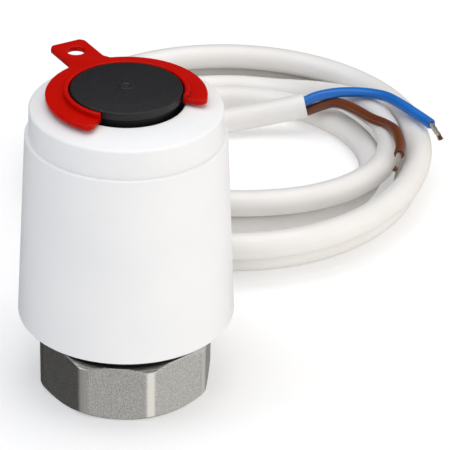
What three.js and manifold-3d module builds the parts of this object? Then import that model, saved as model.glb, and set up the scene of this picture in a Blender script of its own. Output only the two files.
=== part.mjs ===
// Electrothermal actuator head for a radiator or manifold valve.
// Millimetres, +Z up. The origin is on the main axis, level with the bottom face of the union nut.
import * as THREE from 'three';
import { mergeVertices } from 'three/addons/utils/BufferGeometryUtils.js';
import Module from 'manifold-3d';

// ---------------------------------------------------------------- driving dimensions

const CLEARANCE = 0.3;            // gap left between pieces that touch
const RUNNING = 0.35;             // gap between pieces that slide or turn on each other
const REST_GAP = 0.5;             // gap left at the end of a stroke
const PAST = 1;                   // how far a cutting tool runs past what it cuts

// union nut, M30 x 1.5
const THREAD_MAJOR = 30;
const THREAD_PITCH = 1.5;
const THREAD_DEPTH = 0.81;
const THREAD_TURNS = 4;
const THREAD_ROOT_FLAT = 0.12;     // left between two grooves of the thread
const THREAD_LEAD_IN = 0.1;       // the mouth is wider than the thread by this much
const NUT_WALL = 1;               // from the thread's major diameter to a flat
const NUT_SIDES = 8;
const NUT_HEIGHT = 11.7;
const NUT_CORNER_CUT = 0.37;      // the corners are turned down by this much
const NUT_CHAMFER_ANGLE = 40;     // degrees from the flat end faces
const NUT_CHAMFER_RISE = 0.95;    // height of the chamfer at a corner
const NUT_TURN = -12.9;           // degrees, where one corner points as delivered
const COLLAR_THICKNESS = 2.3;     // inward collar at the top of the nut

// retaining ring that holds the nut on the neck
const RING_THICKNESS = 1.1;
const RING_WIDTH = 2.1;
const RING_GAP_ANGLE = 40;

// base and neck
const NECK_TO_BORE = 2.19;        // radial room between the neck and the nut's thread
const NECK_GROOVE_DEPTH = 1;
const NECK_LIP = 1.2;             // neck below the retaining ring
const SHOULDER_SET_IN = 0.4;      // black shoulder inside the nut's flats
const SHOULDER_HEIGHT = 3.9;
const BASE_FLOOR = 2.1;
const BASE_RIM_HEIGHT = 6.1;
const BASE_RIM_WALL = 1.8;
const FOOT_BORE_RADIUS = 6.8;
const FOOT_BORE_DEPTH = 5;
const WEB_THICKNESS = 2.5;
const SEAL_POCKET_RADIUS = 7.5;
const SEAL_SECTION = 0.6;         // radius of a seal ring's wire
const SEAL_GROOVE_ROOM = 0.2;     // above and below the seal ring
const STEM_GUIDE_WALL = 1.8;      // from the stem to the hole through the web
const GUIDE_FLANGE_WIDTH = 1.6;
const GUIDE_FLANGE_THICKNESS = 1;
const GUIDE_ABOVE_WEB = 1.9;
const COVER_SEAL_ABOVE_BASE = 3.8;

// outer cover and top cap
const COVER_BOTTOM_RADIUS = 20.7;
const COVER_HEIGHT = 37.75;
const COVER_TAPER = 1.89;         // the top is this much smaller in radius
const COVER_WALL = 1.6;
const COVER_BELOW_BASE = 0.35;
const COVER_EDGE = 0.4;           // chamfer at the cover's two rims
const LEDGE_WIDTH = 0.79;
const CAP_RIM_HEIGHT = 5.6;       // from the ledge to the cap's outer edge
const CAP_CROWN = 1.3;            // from the outer edge to the hole
const CAP_HOLE_RADIUS = 10.8;
const CAP_EDGE_RADIUS = 0.8;
const CAP_EDGE_ARC = 80;          // degrees of rounding before the crown starts
const CAP_HOLE_CHAMFER = 0.5;
const CAP_SPIGOT_DEPTH = 6;
const CAP_WALL = 1.5;
const CAP_ROOF = 1.9;             // thickness of the crown at its outer edge
const CAP_ROOF_AT_HUB = 2.4;
const HUB_WIDTH = 2.7;
const HUB_DEPTH = 3.6;

// moving column
const LIFT_STROKE = 2.8;
const FOOT_RECESS = 0.7;          // the foot's face above the neck's end, as delivered
const FOOT_HEAD = 2.8;
const FOOT_CHAMFER = 0.6;
const STEM_RADIUS = 2.5;
const YOKE_PLATE = 2;
const YOKE_ARM_THICKNESS = 2;
const YOKE_ARM_WIDTH = 7;
const YOKE_TOP_RIM = 2;           // of the top plate, outside the spring's mean radius
const WELD_IN = 0.5;              // how far moulded-on walls run into the plate they stand on
const SPRING_WIRE = 1.8;
const SPRING_TURNS = 4.25;
const SPRING_OUTSIDE_HOLE = 0.6;  // of the spring's mean radius

// wax element and heater
const ELEMENT_RADIUS = 5.2;
const ELEMENT_HEIGHT = 7.5;
const ELEMENT_NECK_RADIUS = 3.6;
const ELEMENT_NECK_HEIGHT = 1.7;
const ELEMENT_FLOOR = 1;
const PISTON_RADIUS = 1.4;
const HEATER_SET_IN = 0.2;        // of the heater inside the element's edge
const HEATER_THICKNESS = 2;
const CONTACT_THICKNESS = 0.4;
const CONTACT_TAB_WIDTH = 3;
const CONTACT_TAB_REACH = 10.2;
const CONTACT_TAB_OFFSET = 2.3;
const CARRIER_PLATE = 1.8;
const CARRIER_LEG_THICKNESS = 2;
const CUP_ROOM = 0.7;             // from the element to the wall round it
const CUP_WALL_THICKNESS = 1;
const CUP_WALL_HEIGHT = 5;

// indicator and lock clip
const DISC_IN_HOLE = 0.46;        // radial gap from the disc to the cap's hole
const DISC_ABOVE_HOLE = 0.85;
const DISC_THICKNESS = 1.55;
const DISC_CROWN = 0.55;
const DISC_EDGE = 0.25;
const INDICATOR_STEM_RADIUS = 4;
const INDICATOR_FLANGE_RADIUS = 6;
const INDICATOR_FLANGE_THICKNESS = 1.2;
const INDICATOR_HEAD_SET_IN = 0.74; // of the head that closes the cap's hole, under the disc
const INDICATOR_HEAD_HEIGHT = 3.9;
const CLIP_FLANGE_WIDTH = 4.1;
const CLIP_PLATE = 1.1;
const CLIP_COLLAR_WALL = 0.86;
const CLIP_COLLAR_HEIGHT = 2.1;
const CLIP_TAB_AZIMUTH = 135;
const CLIP_TAB_REACH = 8.9;       // from the flange's edge
const CLIP_TAB_WIDTH = 7.3;
const CLIP_TAB_ROOT_WIDTH = 8.8;
const CLIP_TAB_NECK_OUT = 0.6;    // where the root has narrowed, outside the flange
const CLIP_TAB_CORNER = 0.9;
const CLIP_TAB_HOLE_RADIUS = 1.75;
const CLIP_TAB_HOLE_FROM_END = 4.1;
const CLIP_MOUTH_FROM = -99.5;    // azimuths between which the clip is open
const CLIP_MOUTH_TO = 3.5;

// cable and its entry
const EXIT_AZIMUTH = 120;
const EXIT_HEIGHT = 29.5;
const CABLE_DIAMETER = 5.6;
const CORE_DIAMETER = 2.3;
const STRAND_DIAMETER = 1.24;
const CORE_OFFSET = 1.25;         // of each core from the cable's middle, where the sheath stops
const INNER_CORE_DIAMETER = 2.2;
const WIRE_STRAIGHT = 0.6;        // straight length at each end of an inner wire
const BUSH_TIP_WALL = 0.8;
const BUSH_NECK_WALL = 1;
const BUSH_ROOT_WALL = 2.3;
const BUSH_FLANGE_WALL = 2.9;
const BUSH_FLANGE_THICKNESS = 1.2;
const BUSH_LENGTH = 18;
const BUSH_COLLAR = 2;            // plain length at the root
const BUSH_TIP_EDGE = 0.4;
const BUSH_GROOVE_WIDTH = 1.1;
const BUSH_GROOVE_DEPTH = 0.45;
const BUSH_GROOVES = 3;
const CLAMP_DEPTH = 2.6;
const CLAMP_FOOT_HALF_WIDTH = 4.6;
const CLAMP_SCREW_RADIUS = 0.8;
const CLAMP_SCREW_LENGTH = 5.5;   // below the split between saddle and strap
const CLAMP_SCREW_HEAD = 1;
const CLAMP_SCREW_TO_BORE = 1.65;
const CLAMP_EAR = 1.55;           // outside a screw's axis
const CLAMP_STRAP_WALL = 0.9;
const CLAMP_FOOT_ABOVE_RIM = 1;
const CRIMP_RADIUS = 1.25;
const CRIMP_LENGTH = 2.6;

// coil of spare cable
const COIL_CENTRE = [-0.4, 83.5];
const COIL_OUTER_RADIUS = 46.6;
const COIL_STEP_RADIUS = 37.4;
const COIL_INNER_RADIUS = 23.8;
const COIL_HEIGHT = 11.3;
const COIL_INNER_HEIGHT = 5.7;
const COIL_LOW_RADIUS = 30.8;     // inside this the coil slopes down to its inner edge
const COIL_EDGE = 1.5;
const COIL_LIFT = 0.1;            // off the surface it lies on

// the cable's free stretches, placed by hand
const LEAD_POINTS = [
    [-6.45, 11.17, 29.5], [-10.5, 18.19, 29.5], [-15, 25.98, 29.5], [-19, 32.91, 29.5],
    [-22.4, 38.9, 29.0], [-26.5, 46.3, 27.0], [-31, 54.5, 23.2], [-35.6, 62.8, 18.9],
    [-38.9, 69.3, 15.9], [-40.4, 74, 14.6],
];
const TAIL_POINTS = [
    [-20.4, 82.5, 2.9], [-18.6, 90.4, 3.0], [-12.6, 97.2, 3.2],
    [-4.1, 101.3, 3.9], [4.3, 104.6, 5.3], [11.5, 107.1, 7.0],
];
const BLUE_POINTS = [
    [11.7, 106.6, 8.3], [14.3, 107.3, 9.6], [19, 107.7, 11.0], [24.5, 106.9, 12.2], [29.8, 105.1, 13.0],
    [33.5, 102.5, 13.2], [37.2, 99.5, 13.1], [40.4, 96.9, 12.9], [42.3, 95.2, 12.8],
];
const BLUE_STRAND_POINTS = [[42.6, 94.8, 12.8], [43.9, 92.5, 12.7], [45.7, 89.3, 12.4]];
const BROWN_POINTS = [
    [12.3, 106.9, 5.8], [14.8, 107.4, 7.0], [18.5, 107.0, 8.7], [23.1, 103.8, 9.6], [28.3, 98.7, 10.4],
    [32.4, 94.9, 11.4], [35.6, 89.6, 12.8], [37.7, 83.6, 12.9], [38.2, 79.5, 12.9],
];
const BROWN_STRAND_POINTS = [[38.25, 79, 12.9], [38.4, 75.8, 12.7], [38.6, 72.5, 12.5]];

// ---------------------------------------------------------------- derived levels

const NUT_ACROSS_FLATS = THREAD_MAJOR + 2 * NUT_WALL;
const NUT_CORNER_REACH = NUT_ACROSS_FLATS / 2 / Math.cos(Math.PI / NUT_SIDES);
const NUT_CORNER_RADIUS = NUT_CORNER_REACH - NUT_CORNER_CUT;
const NUT_BORE_RADIUS = THREAD_MAJOR / 2 - THREAD_DEPTH;
const NECK_RADIUS = NUT_BORE_RADIUS - NECK_TO_BORE;
const GROOVE_RADIUS = NECK_RADIUS - NECK_GROOVE_DEPTH;
const RING_INNER = GROOVE_RADIUS + CLEARANCE;
const COLLAR_BOTTOM = NUT_HEIGHT - COLLAR_THICKNESS;
const RING_TOP = COLLAR_BOTTOM - CLEARANCE;
const RING_BOTTOM = RING_TOP - RING_THICKNESS;
const GROOVE_BOTTOM = RING_BOTTOM - CLEARANCE;
const NECK_BOTTOM = GROOVE_BOTTOM - NECK_LIP;
const SHOULDER_RADIUS = NUT_ACROSS_FLATS / 2 - SHOULDER_SET_IN;
const SHOULDER_BOTTOM = NUT_HEIGHT + CLEARANCE;
const BASE_BOTTOM = SHOULDER_BOTTOM + SHOULDER_HEIGHT;

const COVER_BOTTOM = BASE_BOTTOM - COVER_BELOW_BASE;
const COVER_TOP = COVER_BOTTOM + COVER_HEIGHT;
const COVER_TOP_RADIUS = COVER_BOTTOM_RADIUS - COVER_TAPER;
const coverRadius = (z) => COVER_BOTTOM_RADIUS - (z - COVER_BOTTOM) * COVER_TAPER / COVER_HEIGHT;
const CAP_RADIUS = COVER_TOP_RADIUS - LEDGE_WIDTH;
const CAP_RIM = COVER_TOP + CAP_RIM_HEIGHT;
const CAP_HOLE_EDGE = CAP_RIM + CAP_CROWN;
const HUB_BOTTOM = CAP_HOLE_EDGE - HUB_DEPTH;

const BASE_RIM_TOP = BASE_BOTTOM + BASE_RIM_HEIGHT;
const BASE_RIM_RADIUS = coverRadius(BASE_RIM_TOP) - COVER_WALL - CLEARANCE;
const BASE_FLOOR_TOP = BASE_BOTTOM + BASE_FLOOR;
const WEB_BOTTOM = NECK_BOTTOM + FOOT_BORE_DEPTH;
const WEB_TOP = WEB_BOTTOM + WEB_THICKNESS;
const STEM_HOLE_RADIUS = STEM_RADIUS + STEM_GUIDE_WALL;

const FOOT_RADIUS = FOOT_BORE_RADIUS - REST_GAP;
const FOOT_FACE = NECK_BOTTOM + FOOT_RECESS;
const YOKE_BOTTOM = BASE_FLOOR_TOP + LIFT_STROKE + REST_GAP;
const HEATER_RADIUS = ELEMENT_RADIUS - HEATER_SET_IN;
const CUP_WALL_INNER = ELEMENT_RADIUS + CUP_ROOM;
const CARRIER_HALF_WIDTH = CUP_WALL_INNER;
const YOKE_ARM_INNER = CUP_WALL_INNER + CUP_WALL_THICKNESS + REST_GAP;
const CARRIER_LEVEL = YOKE_BOTTOM + YOKE_PLATE + REST_GAP;
const LOWER_CONTACT = CARRIER_LEVEL + CARRIER_PLATE + CLEARANCE;
const HEATER_BOTTOM = LOWER_CONTACT + CONTACT_THICKNESS + CLEARANCE;
const UPPER_CONTACT = HEATER_BOTTOM + HEATER_THICKNESS + CLEARANCE;
const ELEMENT_BOTTOM = UPPER_CONTACT + CONTACT_THICKNESS + CLEARANCE;
const ELEMENT_TOP = ELEMENT_BOTTOM + ELEMENT_HEIGHT + ELEMENT_NECK_HEIGHT;
const YOKE_TOP_UNDERSIDE = ELEMENT_TOP + LIFT_STROKE + REST_GAP;
const YOKE_TOP = YOKE_TOP_UNDERSIDE + YOKE_PLATE;
const SPRING_MEAN_RADIUS = CAP_HOLE_RADIUS + SPRING_OUTSIDE_HOLE;
const YOKE_TOP_RADIUS = SPRING_MEAN_RADIUS + YOKE_TOP_RIM;
const SPRING_BOTTOM = YOKE_TOP + CLEARANCE;
const SPRING_TOP = HUB_BOTTOM - CLEARANCE;

const DISC_RADIUS = CAP_HOLE_RADIUS - DISC_IN_HOLE;
const DISC_BOTTOM = CAP_HOLE_EDGE + DISC_ABOVE_HOLE;
const DISC_RIM = DISC_BOTTOM + DISC_THICKNESS;
const INDICATOR_HEAD_RADIUS = DISC_RADIUS - INDICATOR_HEAD_SET_IN;
const CLIP_BOTTOM = CAP_HOLE_EDGE + CLEARANCE;
const CLIP_OUTER_RADIUS = CAP_HOLE_RADIUS + CLIP_FLANGE_WIDTH;
const CLIP_INNER_RADIUS = DISC_RADIUS + RUNNING;
const CLIP_COLLAR_OUTER = CLIP_INNER_RADIUS + CLIP_COLLAR_WALL;
const CLIP_TAB_END = CLIP_OUTER_RADIUS + CLIP_TAB_REACH;

const BUSH_BORE_RADIUS = CABLE_DIAMETER / 2 + CLEARANCE;
const BUSH_TIP_RADIUS = BUSH_BORE_RADIUS + BUSH_TIP_WALL;
const BUSH_NECK_RADIUS = BUSH_BORE_RADIUS + BUSH_NECK_WALL;
const BUSH_ROOT_RADIUS = BUSH_BORE_RADIUS + BUSH_ROOT_WALL;
const BUSH_FLANGE_RADIUS = BUSH_BORE_RADIUS + BUSH_FLANGE_WALL;
const COVER_INNER_AT_EXIT = coverRadius(EXIT_HEIGHT) - COVER_WALL;
const BUSH_FLANGE_OUTER = Math.sqrt(COVER_INNER_AT_EXIT ** 2 - BUSH_FLANGE_RADIUS ** 2) - CLEARANCE;
const BUSH_FLANGE_INNER = BUSH_FLANGE_OUTER - BUSH_FLANGE_THICKNESS;

// the cable clamp stands behind the bush's flange, and the carrier's leg behind the clamp
const CLAMP_TO = BUSH_FLANGE_INNER - CLEARANCE;
const CLAMP_FROM = CLAMP_TO - CLAMP_DEPTH;
const CLAMP_TOP = EXIT_HEIGHT + BUSH_BORE_RADIUS + CLAMP_STRAP_WALL;
const CLAMP_SCREW_OFFSET = BUSH_BORE_RADIUS + CLAMP_SCREW_TO_BORE;
const CLAMP_HALF_WIDTH = CLAMP_SCREW_OFFSET + CLAMP_EAR;
const CARRIER_LEG_OUTER = CLAMP_FROM - REST_GAP;
const WIRE_START = CLAMP_FROM - 0.4; // the inner wires start just inside the cut sheath
const BUSH_START = coverRadius(EXIT_HEIGHT - BUSH_FLANGE_RADIUS) + CLEARANCE;

// ---------------------------------------------------------------- geometry helpers

const wasm = await Module();
wasm.setup();

const radians = (degrees) => THREE.MathUtils.degToRad(degrees);
const points2 = (pairs) => pairs.map(([x, y]) => new THREE.Vector2(x, y));
const points3 = (triples) => triples.map((p) => new THREE.Vector3(...p));

// A turned piece about +Z. The profile is (radius, height), anticlockwise, and ends where it starts
// or on the axis.
function turned(profile, segments = 32, from = 0, sweep = 360) {
    const geometry = new THREE.LatheGeometry(points2(profile), segments, radians(from), radians(sweep));
    return geometry.rotateX(Math.PI / 2);
}

// A turned ring, its profile given once round.
function turnedRing(profile, segments = 32) {
    return turned([...profile, profile[0]], segments);
}

// A round wire ring about +Z.
function roundRing(radius, section, height, segments, sides) {
    const profile = [];
    for (let i = 0; i < sides; i += 1) {
        const angle = (i / sides) * Math.PI * 2;
        profile.push([radius + section * Math.cos(angle), height + section * Math.sin(angle)]);
    }
    return turnedRing(profile, segments);
}

// A solid or hollow cylinder between two heights.
function barrel(outer, inner, bottom, top, segments = 32) {
    if (inner === 0) {
        return turned([[0, bottom], [outer, bottom], [outer, top], [0, top]], segments);
    }
    return turnedRing([[inner, bottom], [outer, bottom], [outer, top], [inner, top]], segments);
}

// A box given by its lowest and highest corners.
function block(low, high) {
    const size = high.map((value, axis) => value - low[axis]);
    const centre = high.map((value, axis) => (value + low[axis]) / 2);
    return new THREE.BoxGeometry(...size).translate(...centre);
}

// A flat plate of the given outline between two heights.
function plate(shape, bottom, top, curveSegments = 24) {
    const settings = { depth: top - bottom, bevelEnabled: false, curveSegments };
    return new THREE.ExtrudeGeometry(shape, settings).translate(0, 0, bottom);
}

// A round tube along hand-placed points.
function tube(triples, diameter, steps, sides = 8) {
    const section = new THREE.Shape();
    for (let i = 0; i < sides; i += 1) {
        const angle = (i / sides) * Math.PI * 2;
        const corner = [Math.cos(angle) * diameter / 2, Math.sin(angle) * diameter / 2];
        if (i === 0) {
            section.moveTo(...corner);
        } else {
            section.lineTo(...corner);
        }
    }
    const path = new THREE.CatmullRomCurve3(points3(triples));
    return new THREE.ExtrudeGeometry(section, { steps, bevelEnabled: false, extrudePath: path });
}

// A helix about +Z whose section keeps one side to the axis.
class Helix extends THREE.Curve {
    constructor(radius, pitch, turns, start) {
        super();
        this.radius = radius;
        this.pitch = pitch;
        this.turns = turns;
        this.start = start;
    }

    getPoint(t, target = new THREE.Vector3()) {
        const angle = t * this.turns * Math.PI * 2;
        const height = this.start + this.pitch * this.turns * t;
        return target.set(this.radius * Math.cos(angle), this.radius * Math.sin(angle), height);
    }

    computeFrenetFrames(segments) {
        const frames = { tangents: [], normals: [], binormals: [] };
        for (let i = 0; i <= segments; i += 1) {
            const angle = (i / segments) * this.turns * Math.PI * 2;
            const rise = this.pitch / (Math.PI * 2);
            const around = new THREE.Vector3(-Math.sin(angle), Math.cos(angle), rise / this.radius);
            const outward = new THREE.Vector3(Math.cos(angle), Math.sin(angle), 0);
            around.normalize();
            frames.tangents.push(around);
            frames.normals.push(outward);
            frames.binormals.push(new THREE.Vector3().crossVectors(around, outward));
        }
        return frames;
    }
}

// Geometry to manifold solid and back, for joins and cuts.
function solid(geometry) {
    const bare = geometry.index ? geometry.toNonIndexed() : geometry.clone();
    bare.deleteAttribute('normal');
    bare.deleteAttribute('uv');
    const merged = mergeVertices(bare, 1e-4);
    const mesh = new wasm.Mesh({
        numProp: 3,
        vertProperties: new Float32Array(merged.attributes.position.array),
        triVerts: new Uint32Array(merged.index.array),
    });
    return new wasm.Manifold(mesh);
}

function geometryOf(manifold) {
    const mesh = manifold.getMesh();
    const geometry = new THREE.BufferGeometry();
    geometry.setAttribute('position', new THREE.BufferAttribute(new Float32Array(mesh.vertProperties), 3));
    geometry.setIndex(new THREE.BufferAttribute(new Uint32Array(mesh.triVerts), 1));
    return geometry;
}

function joined(...geometries) {
    return geometryOf(geometries.map(solid).reduce((whole, piece) => whole.add(piece)));
}

function cut(geometry, ...tools) {
    return geometryOf(tools.map(solid).reduce((whole, tool) => whole.subtract(tool), solid(geometry)));
}

function common(...geometries) {
    return geometryOf(geometries.map(solid).reduce((whole, piece) => whole.intersect(piece)));
}

// ---------------------------------------------------------------- materials

function finish(color, roughness, metalness = 0) {
    return new THREE.MeshStandardMaterial({ color, roughness, metalness });
}

const whitePlastic = finish('#f1f2f3', 0.42);
const blackPlastic = finish('#1b1c1e', 0.55);
const redPlastic = finish('#c4170b', 0.32);
const naturalPlastic = finish('#d8d2c2', 0.5);
const nickel = finish('#b9b7ae', 0.35, 1);
const springSteel = finish('#9aa0a6', 0.3, 1);
const brass = finish('#c8a24a', 0.35, 1);
const blackRubber = finish('#17181a', 0.8);
const heaterCeramic = finish('#54575c', 0.6);
const whitePvc = finish('#eceae4', 0.45);
const bluePvc = finish('#1f66c9', 0.35);
const brownPvc = finish('#6d3515', 0.35);
const tinnedCopper = finish('#9c958b', 0.4, 1);

const actuator = new THREE.Group();

function add(name, geometry, material, parent = actuator) {
    const mesh = new THREE.Mesh(geometry, material);
    mesh.name = name;
    parent.add(mesh);
    return mesh;
}

// ---------------------------------------------------------------- union nut and its ring

function nutBlank() {
    const slope = Math.tan(radians(NUT_CHAMFER_ANGLE));
    const endRadius = NUT_CORNER_RADIUS - NUT_CHAMFER_RISE / slope;
    const blank = turned([
        [0, 0], [endRadius, 0], [NUT_CORNER_RADIUS, NUT_CHAMFER_RISE],
        [NUT_CORNER_RADIUS, NUT_HEIGHT - NUT_CHAMFER_RISE], [endRadius, NUT_HEIGHT], [0, NUT_HEIGHT],
    ], 56);
    const reach = NUT_CORNER_REACH;
    const prism = new THREE.CylinderGeometry(reach, reach, NUT_HEIGHT, NUT_SIDES);
    prism.rotateX(Math.PI / 2).translate(0, 0, NUT_HEIGHT / 2);
    return common(blank, prism);
}

function nutBore() {
    const collarRadius = NECK_RADIUS + RUNNING;
    const leadIn = THREAD_MAJOR / 2 + THREAD_LEAD_IN;
    return turned([
        [0, -PAST], [leadIn + PAST, -PAST], [leadIn, 0], [NUT_BORE_RADIUS, leadIn - NUT_BORE_RADIUS],
        [NUT_BORE_RADIUS, COLLAR_BOTTOM], [collarRadius, COLLAR_BOTTOM],
        [collarRadius, NUT_HEIGHT + PAST], [0, NUT_HEIGHT + PAST],
    ], 36);
}

function threadGroove() {
    const half = (THREAD_PITCH - THREAD_ROOT_FLAT) / 2;
    const mouth = -CLEARANCE;
    const section = new THREE.Shape(points2([[mouth, -half], [THREAD_DEPTH, 0], [mouth, half]]));
    const path = new Helix(NUT_BORE_RADIUS, THREAD_PITCH, THREAD_TURNS, -THREAD_PITCH / 2);
    const steps = Math.round(THREAD_TURNS * 18);
    return new THREE.ExtrudeGeometry(section, { steps, bevelEnabled: false, extrudePath: path });
}

function buildNut() {
    const nut = add('union_nut', cut(nutBlank(), nutBore(), threadGroove()), nickel);
    nut.rotation.z = radians(NUT_TURN);
}

function buildRetainingRing() {
    const half = RING_GAP_ANGLE / 2;
    const ring = new THREE.Shape();
    ring.absarc(0, 0, RING_INNER + RING_WIDTH, radians(half), radians(360 - half), false);
    ring.absarc(0, 0, RING_INNER, radians(360 - half), radians(half), true);
    add('nut_retaining_ring', plate(ring, RING_BOTTOM, RING_TOP, 20), springSteel);
}

// ---------------------------------------------------------------- base, bush and seals

function buildBase() {
    const sealLevel = BASE_BOTTOM + COVER_SEAL_ABOVE_BASE;
    const grooveHalf = SEAL_SECTION + SEAL_GROOVE_ROOM;
    const sealRadius = coverRadius(sealLevel) - COVER_WALL - CLEARANCE - SEAL_SECTION;
    const grooveFloor = sealRadius - SEAL_SECTION - CLEARANCE;
    const rimInner = BASE_RIM_RADIUS - BASE_RIM_WALL;
    const profile = [
        [FOOT_BORE_RADIUS, NECK_BOTTOM], [NECK_RADIUS, NECK_BOTTOM],
        [NECK_RADIUS, GROOVE_BOTTOM], [GROOVE_RADIUS, GROOVE_BOTTOM],
        [GROOVE_RADIUS, COLLAR_BOTTOM], [NECK_RADIUS, COLLAR_BOTTOM],
        [NECK_RADIUS, SHOULDER_BOTTOM], [SHOULDER_RADIUS, SHOULDER_BOTTOM],
        [SHOULDER_RADIUS, BASE_BOTTOM], [BASE_RIM_RADIUS, BASE_BOTTOM],
        [BASE_RIM_RADIUS, sealLevel - grooveHalf], [grooveFloor, sealLevel - grooveHalf],
        [grooveFloor, sealLevel + grooveHalf], [BASE_RIM_RADIUS, sealLevel + grooveHalf],
        [BASE_RIM_RADIUS, BASE_RIM_TOP], [rimInner, BASE_RIM_TOP],
        [rimInner, BASE_FLOOR_TOP], [SEAL_POCKET_RADIUS, BASE_FLOOR_TOP],
        [SEAL_POCKET_RADIUS, WEB_TOP], [STEM_HOLE_RADIUS, WEB_TOP],
        [STEM_HOLE_RADIUS, WEB_BOTTOM], [FOOT_BORE_RADIUS, WEB_BOTTOM],
    ];
    add('base_body', turnedRing(profile, 36), blackPlastic);
    add('cover_seal', roundRing(sealRadius, SEAL_SECTION, sealLevel, 28, 6), blackRubber);
}

function buildStemBushAndSeal() {
    const inner = STEM_RADIUS + RUNNING;
    const outer = STEM_HOLE_RADIUS - CLEARANCE;
    const flangeBottom = WEB_TOP + CLEARANCE;
    const flangeTop = flangeBottom + GUIDE_FLANGE_THICKNESS;
    const flangeRadius = outer + GUIDE_FLANGE_WIDTH;
    const bushTop = flangeBottom + GUIDE_ABOVE_WEB;
    add('guide_bush', turnedRing([
        [inner, WEB_BOTTOM], [outer, WEB_BOTTOM], [outer, flangeBottom], [flangeRadius, flangeBottom],
        [flangeRadius, flangeTop], [outer, flangeTop], [outer, bushTop], [inner, bushTop],
    ], 24), brass);
    const sealHeight = bushTop + CLEARANCE + SEAL_SECTION;
    add('stem_seal', roundRing(inner + SEAL_SECTION, SEAL_SECTION, sealHeight, 16, 6), blackRubber);
}

// ---------------------------------------------------------------- moving column

function buildPressureFoot() {
    const top = YOKE_BOTTOM - CLEARANCE;
    add('pressure_foot', turned([
        [0, FOOT_FACE], [FOOT_RADIUS - FOOT_CHAMFER, FOOT_FACE], [FOOT_RADIUS, FOOT_FACE + FOOT_CHAMFER],
        [FOOT_RADIUS, FOOT_FACE + FOOT_HEAD], [STEM_RADIUS, FOOT_FACE + FOOT_HEAD],
        [STEM_RADIUS, top], [0, top],
    ], 24), naturalPlastic);
}

function buildYoke(interior) {
    const armOuter = YOKE_ARM_INNER + YOKE_ARM_THICKNESS;
    const half = YOKE_ARM_WIDTH / 2;
    const lower = block([-armOuter, -half, YOKE_BOTTOM], [armOuter, half, YOKE_BOTTOM + YOKE_PLATE]);
    const armTop = YOKE_TOP_UNDERSIDE + WELD_IN;
    const left = block([-armOuter, -half, YOKE_BOTTOM], [-YOKE_ARM_INNER, half, armTop]);
    const right = block([YOKE_ARM_INNER, -half, YOKE_BOTTOM], [armOuter, half, armTop]);
    const upper = barrel(YOKE_TOP_RADIUS, 0, YOKE_TOP_UNDERSIDE, YOKE_TOP, 28);
    add('lift_yoke', joined(upper, lower, left, right), naturalPlastic, interior);
}

function buildClosingSpring() {
    const wire = SPRING_WIRE / 2;
    const rise = SPRING_TOP - SPRING_BOTTOM - SPRING_WIRE;
    const section = new THREE.Shape();
    section.absarc(0, 0, wire, 0, Math.PI * 2, false);
    const path = new Helix(SPRING_MEAN_RADIUS, rise / SPRING_TURNS, SPRING_TURNS, SPRING_BOTTOM + wire);
    const steps = Math.round(SPRING_TURNS * 14);
    const settings = { steps, bevelEnabled: false, extrudePath: path, curveSegments: 3 };
    add('closing_spring', new THREE.ExtrudeGeometry(section, settings), springSteel);
}

function buildIndicator() {
    const flangeBottom = YOKE_TOP + CLEARANCE;
    const flangeTop = flangeBottom + INDICATOR_FLANGE_THICKNESS;
    const stemTop = DISC_BOTTOM - CLEARANCE;
    const headBottom = stemTop - INDICATOR_HEAD_HEIGHT;
    add('indicator_stem', turned([
        [0, flangeBottom], [INDICATOR_FLANGE_RADIUS, flangeBottom],
        [INDICATOR_FLANGE_RADIUS, flangeTop], [INDICATOR_STEM_RADIUS, flangeTop],
        [INDICATOR_STEM_RADIUS, headBottom], [INDICATOR_HEAD_RADIUS, headBottom],
        [INDICATOR_HEAD_RADIUS, stemTop], [0, stemTop],
    ], 32), blackPlastic);
    const profile = [[0, DISC_BOTTOM], [DISC_RADIUS, DISC_BOTTOM], [DISC_RADIUS, DISC_RIM - DISC_EDGE]];
    const crownSteps = 4;
    for (let i = 0; i <= crownSteps; i += 1) {
        const share = i / crownSteps;
        const radius = (DISC_RADIUS - DISC_EDGE) * (1 - share);
        profile.push([radius, DISC_RIM + DISC_CROWN * (1 - (1 - share) ** 2)]);
    }
    add('indicator_disc', turned(profile, 36), blackPlastic);
}

// ---------------------------------------------------------------- wax element and heater

function buildCarrier(interior) {
    const plateTop = CARRIER_LEVEL + CARRIER_PLATE;
    const wallTop = plateTop + CUP_WALL_HEIGHT;
    const legInner = CARRIER_LEG_OUTER - CARRIER_LEG_THICKNESS;
    const legBottom = BASE_FLOOR_TOP + CLEARANCE;
    const width = CARRIER_HALF_WIDTH;
    const pieces = [
        block([-width, -CARRIER_LEG_OUTER, CARRIER_LEVEL], [width, CARRIER_LEG_OUTER, plateTop]),
        block([-width, legInner, legBottom], [width, CARRIER_LEG_OUTER, plateTop - WELD_IN]),
        block([-width, -CARRIER_LEG_OUTER, legBottom], [width, -legInner, plateTop - WELD_IN]),
        barrel(CUP_WALL_INNER + CUP_WALL_THICKNESS, CUP_WALL_INNER, plateTop - WELD_IN, wallTop, 24),
    ];
    const slotHalf = CONTACT_TAB_OFFSET + CONTACT_TAB_WIDTH / 2 + CLEARANCE;
    const slotReach = CUP_WALL_INNER + CUP_WALL_THICKNESS + PAST;
    const slot = block([-slotHalf, 0, plateTop], [slotHalf, slotReach, wallTop + PAST]);
    add('element_carrier', cut(joined(...pieces), slot), naturalPlastic, interior);
}

function contactPlate(name, level, side, interior) {
    const disc = barrel(ELEMENT_RADIUS, 0, level, level + CONTACT_THICKNESS, 20);
    const from = side * CONTACT_TAB_OFFSET - CONTACT_TAB_WIDTH / 2;
    const high = [from + CONTACT_TAB_WIDTH, CONTACT_TAB_REACH, level + CONTACT_THICKNESS];
    add(name, joined(disc, block([from, 0, level], high)), brass, interior);
}

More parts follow.
